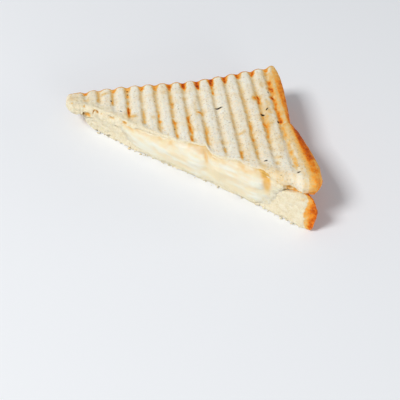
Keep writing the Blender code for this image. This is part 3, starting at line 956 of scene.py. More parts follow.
@dataclass
class BreadSlice:
    """One slice of the pressed half, as a fine closed surface with its relief and its masks."""

    form: LoafForm
    kind: SliceKind
    browning: Browning
    # Grid
    column_pitch: float = 0.5
    front_rows: int = 64
    middle_rows: int = 130
    wall_rows: int = 12
    coarse: int = 4
    nose_steps: tuple[float, ...] = (0.0, 0.15, 0.4, 0.75, 1.15)
    side_stations: int = 15
    front_share: float = 0.4
    # Outline and edges; the largest shares are of the slice's thickness
    seam_gap: float = -0.1
    base_lip: float = 1.0
    crumble: float = 0.25
    crumble_length: float = 1.9
    crown_tuck: float = 1.7
    corner_peak: float = 0.6
    rim_largest: float = 0.6
    seam_largest: float = 0.3
    foot_largest: float = 0.5
    lip_largest: float = 0.35
    # Relief
    lump_height: float = 0.20
    grain_height: float = 0.10
    torn_height: float = 0.45
    pore_depth: float = 0.28
    crumb_pore_depth: float = 0.32
    ragged_height: float = 0.5
    slit_depth: float = 0.2
    # Browning
    crumb_browns: Pair = (0.22, 0.4)
    lower_tones: LowerTones = LowerTones()
    crust_tuck: Points = ((0, 3.0), (2.5, 1.6), (6, 0.0), (10, -0.4), (14, 1.6), (18, 3.4))
    crumb_lip: Points = ((-122, 0.15), (-92, 0.15), (-84, 1.0), (-20, 1.0), (-12, 1.8), (-4, 1.4))
    hollows: tuple[Hollow, ...] = (
        Hollow((-107.1, -15.0, 15.6), (1.5, 0.60, 4.0), 28, 0.8, 0.60, 0.42),
        Hollow((-105.2, -15.8, 15.6), (1.7, 0.60, 4.0), -60, 0.8, 0.52, 0.34),
        Hollow((-107.0, -16.8, 14.0), (1.5, 1.0, 3.0), 5, -0.9, 0.0),
        Hollow((-110.9, -13.4, 10.8), (2.6, 1.8, 1.6), -20, 1.6, 0.42, 0.12),
        Hollow((-110.4, -13.0, 12.3), (2.6, 1.6, 0.8), -20, 0.6, 0.46, 0.26),
        Hollow((-113.5, -12.4, 10.9), (1.0, 1.4, 1.0), 0, 0.9, 0.46, 0.40),
        Hollow((-98.0, -22.4, 15.8), (3.6, 1.4, 2.2), -36, 1.5, 0.36, 0.16),
        Hollow((-98.4, -21.4, 17.0), (3.2, 0.80, 1.6), -36, 0.5, 0.38, 0.26),
        Hollow((-90.6, -27.6, 16.4), (2.3, 0.90, 2.4), -38, 1.1, 0.40, 0.20),
        Hollow((-102.6, -19.0, 13.0), (1.6, 1.6, 1.5), -36, -0.7, 0.0),
        Hollow((-94.0, -27.0, 13.4), (2.2, 1.6, 1.6), -36, -0.7, 0.0),
        Hollow((-118.2, -4.5, 15.0), (2.2, 2.2, 4.0), 0, -0.5, 0.20),
        Hollow((-8.9, -86.2, 18.5), (2.2, 2.4, 1.7), -30, 0.9, 0.54, 0.26),
        Hollow((-11.0, -85.2, 18.9), (1.1, 1.8, 1.0), -25, 0.4, 0.42, 0.14),
        Hollow((-6.6, -88.2, 18.2), (1.6, 2.0, 0.9), -30, 0.4, 0.46, 0.16),
    )

    def grid(self) -> BlockGrid:
        """Stations of the slice: even along the bread, with more rows towards the cut and the back.

        Returns:
            The grid, with a whole number of coarse steps along x and v.
        """
        start = self.form.nose_x if self.kind is SliceKind.UPPER else self.form.lower_nose_x
        nose = np.array(self.nose_steps)
        side = -self.form.side_band
        band = np.linspace(side, 0, self.side_stations + 1)[1:]
        count = int((side - 2 * nose[-1] - start) / self.column_pitch) + len(nose) - 1
        count += -(count + len(nose) + len(band) - 2) % self.coarse
        x = np.concatenate([start + nose[:-1], np.linspace(start + nose[-1], side, count), band])
        near, far = self.front_share, 1 - self.front_share
        front = np.linspace(0, near, self.front_rows, endpoint=False)
        centre = np.linspace(near, far, self.middle_rows, endpoint=False)
        v = self.trim(np.concatenate([front, centre, np.linspace(far, 1, self.front_rows)]))
        return BlockGrid(x, v, np.linspace(0, 1, self.wall_rows), self.coarse)

    def trim(self, stations: Array) -> Array:
        """Takes out a few middle stations, so that the coarse steps end on the last one.

        Args:
            stations: stations in order.

        Returns:
            Those that stay.
        """
        spare = (len(stations) - 1) % self.coarse
        middle = len(stations) // 2
        return np.delete(stations, range(middle, middle + spare))

    def fields(self, x_in: Array, v: Array, w: Array) -> SliceFields:
        """Turns block stations into real places, as the solids' own formulas do.

        Args:
            x_in: station along the bread.
            v: share from the cut to the back crust.
            w: share from the underside to the top.

        Returns:
            The places and each one's distance from the edges.
        """
        form = self.form
        upper = self.kind is SliceKind.UPPER
        nose = form.nose_x if upper else form.lower_nose_x
        curve = form.nose_curve_upper if upper else form.nose_curve
        x = x_in + form.nose_setback(x_in, v, nose, curve)
        crumbly = self.crumble * np.sin(x / self.crumble_length)
        if upper:
            front = form.cut_line(x) + along(x, form.torn_step) + crumbly
            back = form.crust_line(x, x_in, w, 0.3 + 0.7 * w)
        else:
            front = form.cut_line(x) - form.out_in_front(x, w) + crumbly
            back = form.crust_line(x, x_in, w, 1 - 0.7 * w) - form.lower_back
        y = front + form.across(v, back - front)
        share = np.clip((x_in + form.side_band) / form.side_band, 0, 1)
        outline = form.upper_side if upper else form.lower_side
        reach = along(y, outline) + form.bulge * (1 - (2 * w - 1) ** 2)
        if not upper:
            reach = reach - self.crown_tuck * smooth((w - 0.45) / 0.55) * between(y, -78, -92)
        x = x + reach * share
        side = np.where(x_in > -4 * form.side_band, reach - x, FAR)
        near = Edges((y - front) * form.square_share, back - y, side, x_in - nose)
        heights = self.upper_heights if upper else self.lower_heights
        bottom, top, groove = heights(x, y, near)
        return SliceFields(x, y, bottom + w * (top - bottom), w, near, groove)

    def upper_heights(self, x: Array, y: Array, near: Edges) -> tuple[Array, Array, Array]:
        """Heights of the upper slice.

        Args:
            x: place along the bread.
            y: place from the cut towards the back.
            near: distances from the slice's edges.

        Returns:
            Its underside, its top, which is the pressed plane less the grooves and the rounded edges, and one
            in the middle of each groove.
        """
        form = self.form
        to_crown = smooth((form.waist_y - y) / form.waist_blend)
        side_round = form.side_round + (form.crown_round - form.side_round) * to_crown
        inner = form.upper_inner(x, y)
        joined = form.lower_inner(x, y) + self.seam_gap
        squash = form.squashed(x, near.cut) * between(near.nose, 6.0, 12.0)
        inner = inner + (joined - inner) * squash
        thick = form.pressed_plane(x) - inner
        rim = rounded((near.back, near.side, near.nose), (form.back_round, side_round, form.nose_round))
        roll = rounded((near.cut,), (form.lip_radius(x),))
        depth = form.depth_of_groove(x, near, np.maximum(rim, roll))
        groove = form.groove(x, 1 + 0.25 * np.exp(-near.back / 7))
        lowered = np.minimum(rim, self.rim_largest * thick)
        lowered = np.maximum(lowered, np.minimum(roll, form.roll_share(x) * thick))
        top = form.pressed_plane(x) + form.swell(x, y) - depth * groove - lowered
        seam = form.seam_round
        radii = (seam, seam, seam, 0.6 - 0.55 * squash)
        under = rounded((near.back, near.side, near.nose, near.cut), radii)
        return inner + np.minimum(under, self.seam_largest * thick), top, groove

    def lower_heights(self, x: Array, y: Array, near: Edges) -> tuple[Array, Array, Array]:
        """Heights of the lower slice.

        Args:
            x: place along the bread.
            y: place from the cut towards the back.
            near: distances from the slice's edges.

        Returns:
            Its grooved underside on the rest, its upper side under the cheese, and one in the middle of each
            groove.
        """
        form = self.form
        inner = form.lower_inner(x, y)
        rest = form.rest_lift(x)
        thick = inner - rest
        rise = rounded((near.back, near.side, near.nose), (form.back_round, form.side_round, form.nose_round))
        rise = np.maximum(rise, rounded((near.cut,), (self.base_lip,)))
        groove = form.groove(x)
        raised = form.depth_of_groove(x, near, rise) * groove
        bottom = rest + raised + np.minimum(rise, self.foot_largest * thick)
        seam = form.seam_round
        radii = (seam, seam, seam, along(x, self.crumb_lip))
        drop = rounded((near.back, near.side, near.nose, near.cut), radii)
        return bottom, inner - np.minimum(drop, self.lip_largest * thick), groove

    def torn(self, places: Array) -> tuple[Array, Array, Array]:
        """The hollows torn along the cut.

        Args:
            places: (n, 3) places.

        Returns:
            The depth, the brownness, partly painted shade, and the darkness, painted shade in the hollows, at
            each place.
        """
        deep, brown, dark = np.zeros((3, len(places)))
        for hollow in self.hollows:
            here = hollow.share(places)
            deep += hollow.deep * here
            brown = np.maximum(brown, hollow.brown * here)
            dark = np.maximum(dark, hollow.dark * here)
        return deep, brown, dark

    def build(self, material: bpy.types.Material) -> bpy.types.Object:
        """Makes the slice's mesh, rides it on the body and puts it in the plain solid's place.

        Args:
            material: the slice's finish.

        Returns:
            The new object.
        """
        skin = self.grid().skin()
        f = self.fields(*skin.points.T)
        skin.points = np.column_stack([f.x, f.y, f.z])
        if self.kind is SliceKind.UPPER:
            self.dress_upper(skin, f)
        else:
            self.dress_lower(skin, f)
        name = "toasted_upper_slice" if self.kind is SliceKind.UPPER else "toasted_lower_slice"
        made = skin.to_object(name, self.form, material)
        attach(made, BODY)
        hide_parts(self.kind.value)
        return made

    def dress_upper(self, skin: Skin, f: SliceFields) -> None:
        """Relief and masks of the upper slice: a pressed, pored face that grows torn towards the cut.

        Args:
            skin: the slice's surface, in real places.
            f: what is known at each of its points.
        """
        places = skin.points
        tone = self.browning
        width = along(f.x, self.form.crumb_width)
        joined = along(f.x, self.form.closed)
        shows = np.maximum(between(f.w, 0.0, 0.35), joined * between(f.near.cut, 1.0, 0.2))
        frayed = between(f.near.cut / width, 1.2, 0.2)
        hollow, hollow_brown_and_shade, hollow_shade = self.torn(places)
        slits = tone.tears(f)
        relief = self.lump_height * Noise.layers(places, 5.0, LUMPS, 3)
        relief = relief + self.grain_height * Noise.layers(places, 1.3, 23, 2)
        relief = relief - self.pore_depth * Noise.pores(places, 2.0, 0.30, PORES, 0.7) * (1 - 0.4 * frayed)
        torn = (self.torn_height + 0.35 * between(f.x, -78, -94)) * Noise.layers(places, 1.8, ROUGH, 3)
        relief = relief + torn * frayed - hollow - self.slit_depth * slits
        peak = blob(f.x, f.y, (-0.6, 3.8), (1.8, 1.4)) * between(f.w, 0.6, 1.0)
        skin.push((relief + self.corner_peak * peak) * shows)
        mottle = Noise.layers(places, 3.0, 53, 3)
        stipple = Noise.value(places, 0.9, 61)
        broken = Noise.value(places, np.array([1.2, 2.6, 1.2]), 69)
        ribs = tone.ribs(f, Noise.value(places, 4.0, 67), broken) * (1 + 0.34 * mottle + 0.20 * stipple)
        crusts = tone.crusts(f, mottle) * (1 + 0.20 * mottle + 0.12 * stipple)
        spots = tone.spread(f) * (1 + 0.8 * mottle)
        flecks = tone.flecks * between(Noise.value(places, 1.4, 71), 0.45, 0.9)
        flecks = flecks * between(f.near.cut, 8, 1.0) * between(f.x, -20, -26)
        # Brown along the foot of the upper slice's tip at the cut, where it meets the lower slice: partly
        # painted seam shade
        sealed = tone.sealed * between(f.w, 0.3, 0.0) * between(f.x, -12.5, -9.5)
        sealed = sealed * between(f.near.cut, 1.0, 0.2) * (1 + 0.5 * mottle)
        tip = between(f.x, -27, -20)
        rolled = tone.rolled * tip * between(f.near.cut, 8, 2) * between(f.x, -4, -10)
        warm = tone.warm * between(f.x, -36, -24) * between(f.x, -6, -11)
        warm = warm * between(f.near.back, 8, 24) * between(f.near.cut, 4, 14)
        clouds = tone.clouds * between(Noise.value(places, 9.0, 73), 0.0, 0.7) * (1 - tip)
        toast = np.maximum.reduce([ribs, crusts, flecks, hollow_brown_and_shade, spots, sealed, rolled])
        toast = toast + tone.base + warm + clouds + 0.05 * mottle + 0.04 * smooth(f.groove * 1.6)
        crumb = between(f.near.cut / width + 0.45 * mottle, 1.1, 0.3) * (1 - tip)
        skin.masks["toast"] = toast
        skin.masks["crumb"] = crumb * (1 - between(toast, *self.crumb_browns))
        # Dark slits and specks, and painted shade in the torn hollows
        skin.masks["specks_and_hole_shade"] = np.maximum(slits, hollow_shade * (1 + 0.4 * stipple))

    def dress_lower(self, skin: Skin, f: SliceFields) -> None:
        """Relief and masks of the lower slice: open crumb at the cut, crust at the side, ribs underneath.

        Args:
            skin: the slice's surface, in real places.
            f: what is known at each of its points.
        """
        places = skin.points
        rough = Noise.layers(places, 1.8, ROUGH, 3)
        pores = Noise.pores(places, 2.0, 0.34, PORES, 0.7)
        open_crumb = between(f.near.cut, 4.5, 1.0)
        edge = f.near.side + 0.9 * Noise.layers(places, 2.2, 157, 2) + along(f.z, self.crust_tuck)
        crumb_side = open_crumb * (1 - between(edge, 7.2, 6.0))
        hollow, hollow_brown_and_shade, hollow_shade = self.torn(places)
        ragged = Noise.value(places, 1.1, 163) * between(f.z, 3.4, 1.2) * open_crumb
        frayed = (self.torn_height * rough - self.crumb_pore_depth * pores) * open_crumb
        relief = self.lump_height * Noise.layers(places, 5.0, LUMPS, 3) + 0.06 * rough
        relief = relief + frayed * (0.4 + 0.6 * crumb_side) + self.ragged_height * ragged - hollow
        base = between(f.z, 0.0, 0.9)
        skin.push(relief * (0.25 + 0.75 * base) * np.where(relief > 0, 0.3 + 0.7 * base, 1.0))
        skin.points[:, 2] = np.maximum(skin.points[:, 2], 0.0)
        mottle = Noise.layers(places, 3.0, 153, 3)
        stipple = Noise.value(places, 0.9, 161)
        tones = self.lower_tones
        side = tones.fringe * between(edge, 7.6, 6.4) + tones.side * between(edge, 6.2, 3.4)
        side = side - tones.patch * blob(places[:, 0], places[:, 2], (-0.6, 7.0), (2.0, 2.8))
        flank = tones.flank * between(f.near.side, 1.4, 0.4)
        ledge = tones.ledge * between(f.w, 0.88, 1.0) * between(f.x, -8, -4)
        ledge = ledge * between(f.near.cut, 5.0, 1.0) * (1 + 0.5 * Noise.value(places, 2.0, 159))
        back = tones.back * between(f.near.back, 1.2, 0.1)
        under = between(f.w, 0.5, 0.0) * (tones.under + tones.grooves * bell(1 - f.groove, 0.5))
        under = under * (1 - open_crumb)
        specks = tones.specks * between(Noise.value(places, 1.2, 165), 0.45, 0.9)
        specks = specks * open_crumb * between(f.z, 5.0, 1.5)
        toast = np.maximum.reduce([side, flank, ledge, back, under]) * (1 + 0.26 * mottle + 0.14 * stipple)
        toast = np.maximum.reduce([toast, hollow_brown_and_shade, specks])
        skin.masks["toast"] = toast + self.browning.base
        skin.masks["crumb"] = crumb_side * (1 - between(toast, *self.crumb_browns))
        # Painted shade in the torn hollows
        skin.masks["specks_and_hole_shade"] = hollow_shade


@dataclass(frozen=True)
class CheeseFold:
    """A fold or a swelling of the cheese: place on the cut, half sizes, lean, how far out, how tan, which is
    partly painted shade in the crease.
    """

    x: float
    z: float
    wide: float
    high: float
    lean: float
    out: float
    tan: float


@dataclass
class CheeseLayer:
    """Melted cheese: a layer between the slices that runs down over the lower slice's cut face."""

    form: LoafForm
    # Grid
    columns: int = 250
    rows: int = 150
    hidden_rows: int = 36
    # Reach of the layer, and how thickly it has run out
    left: float = -110.0
    right: float = -10.0
    inset: float = 6.5
    edge_back: float = 1.0
    recess: float = 1.6
    gap: float = 0.08
    toe: float = 2.2
    thick: float = 1.9
    lobes: tuple[Triple, ...] = (
        (-84, 5, 0.5), (-66, 6, 1.0), (-56.5, 5, 1.2), (-48, 2.2, -0.8), (-36, 8, 1.2), (-26.5, 4, 0.8),
        (-20.5, 2.6, -0.8),
    )
    cover: Points = (
        (-95, 0.2), (-88, 0.35), (-80, 0.55), (-70, 0.85), (-60, 1.0), (-24, 1.0), (-19, 0.95), (-14, 0.7),
        (-11, 0.4),
    )
    over: float = 0.6
    fade: Pair = (-27.0, -11.0)
    start: Pair = (-96.0, -78.0)
    proud: Points = (
        (-94, 0.0), (-84, 0.1), (-70, 0.25), (-56, 0.4), (-24, 0.4), (-17, 0.2), (-11, 0.0),
    )
    dip: float = 0.55
    sinks: tuple[Triple, ...] = ((-19.0, -11.5, 0.5), (-13.2, -10.2, 2.8), (-90.5, -95.5, 2.0))
    # How it climbs, steps out, swells and thins again on its way down the cut
    full_share: float = 0.15
    climb_end: float = 0.03
    step_length: float = 0.05
    grown_at: float = 0.65
    taper: float = 0.66
    taper_from: float = 0.45
    taper_power: float = 1.3
    body_back: float = 0.4
    # Relief
    wave_height: float = 0.42
    ripple_height: float = 0.10
    crumb_height: float = 0.45
    folds: tuple[CheeseFold, ...] = (
        CheeseFold(-51.5, 21.2, 5.5, 0.7, 3, -0.2, 0.66),
        CheeseFold(-48.9, 17.6, 0.9, 4.2, 8, -0.9, 0.40),
        CheeseFold(-20.0, 17.6, 2.1, 6.8, 6, -0.5, 0.60),
        CheeseFold(-20.9, 21.6, 2.6, 2.6, -28, -0.5, 0.72),
        CheeseFold(-21.9, 23.0, 3.0, 1.6, -28, -0.6, 0.78),
        CheeseFold(-24.0, 16.8, 2.2, 6.0, 6, 0.3, 0.0),
        CheeseFold(-19.0, 10.0, 4.0, 1.8, 0, 0.40, 0.0),
        CheeseFold(-27.5, 24.2, 4.4, 0.8, -6, -0.3, 0.40),
        CheeseFold(-33.0, 20.0, 9.0, 1.2, -4, 0.45, 0.0),
        CheeseFold(-40.0, 14.5, 8.0, 1.4, 3, 0.40, 0.0),
        CheeseFold(-57.0, 17.6, 7.0, 1.6, 5, 0.50, 0.0),
        CheeseFold(-66.0, 12.5, 8.0, 1.2, -3, 0.35, 0.0),
        CheeseFold(-46.0, 20.2, 3.0, 0.6, 0, -0.4, 0.22),
    )

    def swelling(self, x: Array) -> Array:
        """Lobes of the run-out cheese: a sum of soft bumps along the cut."""
        return sum(high * bell(x - middle, half) for middle, half, high in self.lobes)

    def outer_path(self, x: Array, outside: Array, toe: Array, low_line: Array) -> tuple[Array, Array]:
        """The cheese's outer side, from under the upper slice's edge down to the toe.

        Args:
            x: station along the bread.
            outside: 0 under the edge, 1 at the toe.
            toe: height of the toe's underside.
            low_line: height of the lower slice's upper edge.

        Returns:
            Y and z. It first climbs inside the torn wall by a share of its height, then steps out of it, and
            then swells out by a parabola of its way down while z falls in a straight line to the toe.
        """
        form = self.form
        slope = 1 / form.square_share
        full = smooth(along(x, form.apron) / self.full_share)
        line = form.cut_line(x)
        torn = along(x, form.torn_step)
        edge = self.edge(x, full)
        high_edge = form.upper_inner(x, edge) - self.gap
        thick_edge = along(x, form.upper_edge)
        thick_edge = thick_edge + along(x, form.closed) * (form.pressed_plane(x) - low_line - thick_edge)
        cover = along(x, self.cover)
        roll = np.minimum(form.lip_radius(x), form.roll_share(x) * thick_edge)
        wall_top = form.pressed_plane(x) + form.swell(x, line) - roll * (1 - self.over * cover**4)
        start = high_edge + np.maximum(wall_top - high_edge, 0) * cover * full
        toe_top = toe + np.minimum(0.7, 0.45 * (high_edge - low_line))
        climb = smooth(outside / self.climb_end)
        step = smooth((outside - self.climb_end) / self.step_length)
        t = np.clip((outside - 0.04) / 0.96, 0, 1)
        z = high_edge + (start - high_edge) * climb + (toe_top - start) * t
        growth = 1 - np.clip(1 - t / self.grown_at, 0, 1) ** 2
        body = self.body(x)
        lowest = np.clip((t - self.taper_from) / (1 - self.taper_from), 0, 1) ** self.taper_power
        taper = (1 - self.taper * lowest) * (0.05 + 0.95 * body)
        proud = along(x, self.proud) * step * (1 - 0.5 * t) * full
        thick = (self.thick + self.swelling(x)) * growth * taper * full + proud
        away = form.out_in_front(x, z / low_line) + (self.gap + self.body_back * body) * slope
        wall = line + torn - 0.05 * slope
        front = wall + np.minimum(line - away - wall, 0) * smooth(t / 0.3)
        y = edge + (front - edge) * step * full - thick * slope + self.sunk(x, outside)
        return y, z

    def body(self, x: Array) -> Array:
        """One where the cheese is full, falling to nought where it thins out into the crumb at both ends."""
        return (1 - between(x, *self.fade)) * between(x, *self.start)

    def sunk(self, x: Array, outside: Array) -> Array:
        """How far the cheese's margin dips behind the crumb's face, where it has thinned out.

        Args:
            x: station along the bread.
            outside: 0 under the upper slice's edge, 1 at the toe.

        Returns:
            The dip, which grows towards the toe, plus a smooth step for each of the sinks at its two ends.
        """
        ends = sum(deep * between(x, start, full) for start, full, deep in self.sinks)
        margin = self.dip * (1 - 0.75 * self.body(x)) * smooth((outside - 0.5) / 0.5)
        return margin + ends * smooth(outside / 0.1)

    def edge(self, x: Array, full: Array) -> Array:
        """Where the layer turns down: behind the cut, and further behind where none has run out.

        Args:
            x: station along the bread.
            full: one where the cheese has run out.

        Returns:
            Y at each station.
        """
        torn = np.maximum(along(x, self.form.torn_step), 0)
        recess = self.recess * (1 - full) / self.form.square_share
        return self.form.cut_line(x) + self.edge_back + torn + recess

    def places(self, x: Array, v: Array, w: Array) -> tuple[Array, Array]:
        """Turns block stations into real places, as the solid's own formula does.

        Args:
            x: station along the bread.
            v: 1 at the back of the layer, 0.5 where it turns down at the cut, 0 at its toe.
            w: 0 on the side that touches the lower slice, 1 outside.

        Returns:
            The (n, 3) places, and how far down the apron each lies, 0 to 1.
        """
        form = self.form
        slope = 1 / form.square_share
        inside = np.clip((1 - v) / 0.5, 0, 1)
        outside = np.clip((0.5 - v) / 0.5, 0, 1)
        spread = along(x, form.apron)
        full = smooth(spread / self.full_share)
        covered = np.clip((spread - 0.12) / 0.88, 0, 1)
        line = form.cut_line(x)
        back = along(x, form.back_line) - self.inset
        edge = self.edge(x, full)
        y_in = back + (edge - back) * (1 - (1 - inside) ** 1.5)
        low_line = form.lower_inner(x, line) + self.gap
        toe = low_line + (self.toe + 0.5 * np.sin(x / 3.7) - low_line) * covered
        down = (toe - low_line) * np.clip((outside - 0.2) / 0.8, 0, 1)
        behind = (self.gap + self.body_back * self.body(x)) * slope
        away = form.out_in_front(x, (low_line + down) / low_line) + behind
        y_inner = edge + (line - away - edge) * smooth(outside / 0.2) * full + self.sunk(x, outside)
        z_inner = form.lower_inner(x, np.maximum(y_inner, line)) + self.gap + down
        y_outer, z_outer = self.outer_path(x, outside, toe, low_line)
        on_apron = outside > 0
        low = np.where(on_apron, z_inner, form.lower_inner(x, y_in) + self.gap)
        high = np.where(on_apron, z_outer, form.upper_inner(x, y_in) - self.gap)
        y_low = np.where(on_apron, y_inner, y_in)
        y_high = np.where(on_apron, y_outer, y_in)
        return np.column_stack([x, y_low + w * (y_high - y_low), low + w * (high - low)]), outside

    def crumbly(self, x: Array, outside: Array, patchy: Array) -> Array:
        """Where the cheese has thinned out into the crumb.

        Args:
            x: place along the bread.
            outside: 0 under the upper slice's edge, 1 at the toe.
            patchy: unevenness of -1 to 1.

        Returns:
            One at both ends, and nearly one along the toe, with patchy borders.
        """
        right = between(x + 1.5 * patchy + 4.0 * smooth(outside), -18.5, -15.0)
        left = between(x + 2.5 * patchy, -86.0, -93.0)
        toe = 0.9 * between(outside + 0.08 * patchy, 0.86, 1.0)
        return np.maximum.reduce([right, left, toe])

    def folded(self, places: Array) -> tuple[Array, Array]:
        """The folds and swellings.

        Args:
            places: (n, 3) places.

        Returns:
            How far out each place is pushed, the sum of the folds, and how tan, partly painted shade in the
            creases, the strongest of them.
        """
        out, tan = np.zeros((2, len(places)))
        for fold in self.folds:
            middle, size = (fold.x, fold.z), (fold.wide, fold.high)
            here = blob(places[:, 0], places[:, 2], middle, size, fold.lean)
            out += fold.out * here
            tan = np.maximum(tan, fold.tan * between(here, 0.10, 0.85))
        return out, tan

    def build(self, material: bpy.types.Material) -> bpy.types.Object:
        """Makes the cheese, with soft folds that hang down the cut and lumps along it.

        Args:
            material: the cheese's finish.

        Returns:
            The new object.
        """
        x = np.linspace(self.left, self.right, self.columns)
        hidden = np.linspace(1, 0.5, self.hidden_rows, endpoint=False)
        shown = np.linspace(0.5, 0, self.rows - self.hidden_rows)
        skin = BlockGrid(x, np.concatenate([hidden, shown])[::-1], np.linspace(0, 1, 6)).skin()
        stations = skin.points.copy()
        skin.points, outside = self.places(*stations.T)
        places = skin.points
        waves = Noise.layers(places, np.array([9.0, 9.0, 3.0]), 211, 3)
        ripples = Noise.value(places, np.array([2.6, 2.6, 1.6]), 223)
        patchy = Noise.layers(places, 3.0, 233, 2)
        crumbly = self.crumbly(places[:, 0], outside, patchy)
        out, tan = self.folded(places)
        rough = Noise.layers(places, 1.8, ROUGH, 3) - 0.7 * Noise.pores(places, 2.0, 0.34, PORES, 0.7)
        # Painted shadow: a tan band along the cheese's top edge, under the bread's lip
        top_edge_shadow = 0.14 + 0.28 * between(Noise.layers(places, 4.0, 239, 2), -0.1, 0.4)
        top_edge_shadow = top_edge_shadow * between(outside + 0.05 * patchy, 0.26, 0.10)
        tan = np.maximum(tan * (1 + 0.3 * patchy), top_edge_shadow)
        relief = self.wave_height * waves * (1 - crumbly) + self.ripple_height * ripples
        relief = relief + out + self.crumb_height * rough * crumbly
        skin.push(relief * between(outside, 0.05, 0.16) * stations[:, 2])
        # Tan in the folds, partly painted crease shade, and the painted shadow along the top edge
        skin.masks["fold"] = tan * stations[:, 2] * between(outside, 0.01, 0.05)
        # Painted highlight and shade: paler where the waves swell out, creamer in their hollows and towards
        # the toe
        lower_cream_shade = 0.3 * between(outside + 0.16 * patchy, 0.45, 1.0)
        skin.masks["swell_light_and_shade"] = between(waves, -0.35, 0.5) * (1 - lower_cream_shade)
        skin.masks["crumb"] = crumbly
        made = skin.to_object("melted_cheese", self.form, material)
        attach(made, BODY)
        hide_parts("cheese")
        return made


@dataclass
class LooseCrumbs:
    """Small crumbs that have broken off along the lower edge of the cut and lie against it."""

    form: LoafForm
    count: int = 64
    rings: int = 4
    segments: int = 7
    smallest: float = 0.25
    largest: float = 0.75
    size_power: float = 2.2
    seed: int = 7
    out_share: float = 0.95
    clear: float = 0.1
    scatter: float = 1.4
    middle_height: float = 0.62
    lumpiness: float = 0.35
    stretches: Points = ((0.0, -106.0), (0.3, -93.0), (0.62, -60.0), (0.75, -24.0), (1.0, -1.0))

    def ball(self) -> tuple[Array, Array, Array]:
        """A small ball, from its rings and segments.

        Returns:
            Its points, its quads and the triangles round its two poles.
        """
        down = np.pi * (np.arange(self.rings) + 1) / (self.rings + 1)
        round_it = 2 * np.pi * np.arange(self.segments) / self.segments
        polar, turn = np.meshgrid(down, round_it, indexing="ij")
        body = np.stack([np.sin(polar) * np.cos(turn), np.sin(polar) * np.sin(turn), np.cos(polar)], axis=-1)
        points = np.concatenate([body.reshape(-1, 3), [[0, 0, 1], [0, 0, -1]]])
        index = np.arange(self.rings * self.segments).reshape(self.rings, self.segments)
        after = np.roll(index, -1, axis=1)
        quads = np.stack([index[:-1], index[1:], after[1:], after[:-1]], axis=-1).reshape(-1, 4)
        pole = index.size
        top = np.stack([np.full(self.segments, pole), index[0], after[0]], axis=1)
        bottom = np.stack([np.full(self.segments, pole + 1), after[-1], index[-1]], axis=1)
        return points, quads, np.concatenate([top, bottom])

    def build(self, material: bpy.types.Material) -> bpy.types.Object:
        """Scatters the crumbs along the edge, each lumpy, a little flattened and resting on the ground.

        Args:
            material: the lower slice's finish.

        Returns:
            The new object.
        """
        rng = np.random.default_rng(self.seed)
        points, quads, caps = self.ball()
        radius = self.smallest + (self.largest - self.smallest) * rng.random(self.count) ** self.size_power
        x = along(rng.random(self.count), self.stretches)
        foot = self.form.cut_line(x) - along(x, self.form.base_out) * self.out_share
        y = foot - self.clear - self.scatter * rng.random(self.count) ** 3
        middle = np.stack([x, y, self.middle_height * radius], axis=1)
        stretch = 0.7 + 0.6 * rng.random((self.count, 1, 3))
        placed = middle[:, None] + points[None] * radius[:, None, None] * stretch
        lumps = self.lumpiness * Noise.value(placed.reshape(-1, 3), 0.7, 301).reshape(self.count, -1, 1)
        placed = placed + points[None] * radius[:, None, None] * lumps
        placed[..., 2] = np.maximum(placed[..., 2], 0.0)
        first = (np.arange(self.count) * len(points))[:, None, None]
        faces = [(quads[None] + first).reshape(-1, 4), (caps[None] + first).reshape(-1, 3)]
        skin = Skin(placed.reshape(-1, 3), faces)
        browned = np.repeat(rng.random(self.count), len(points))
        skin.masks["toast"] = 0.10 + 0.14 * between(browned, 0.7, 1.0)
        skin.masks["crumb"] = between(browned, 0.9, 0.7)
        skin.masks["specks_and_hole_shade"] = np.zeros(len(skin.points))
        made = skin.to_object("loose_crumbs", self.form, material)
        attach(made, BODY)
        return made


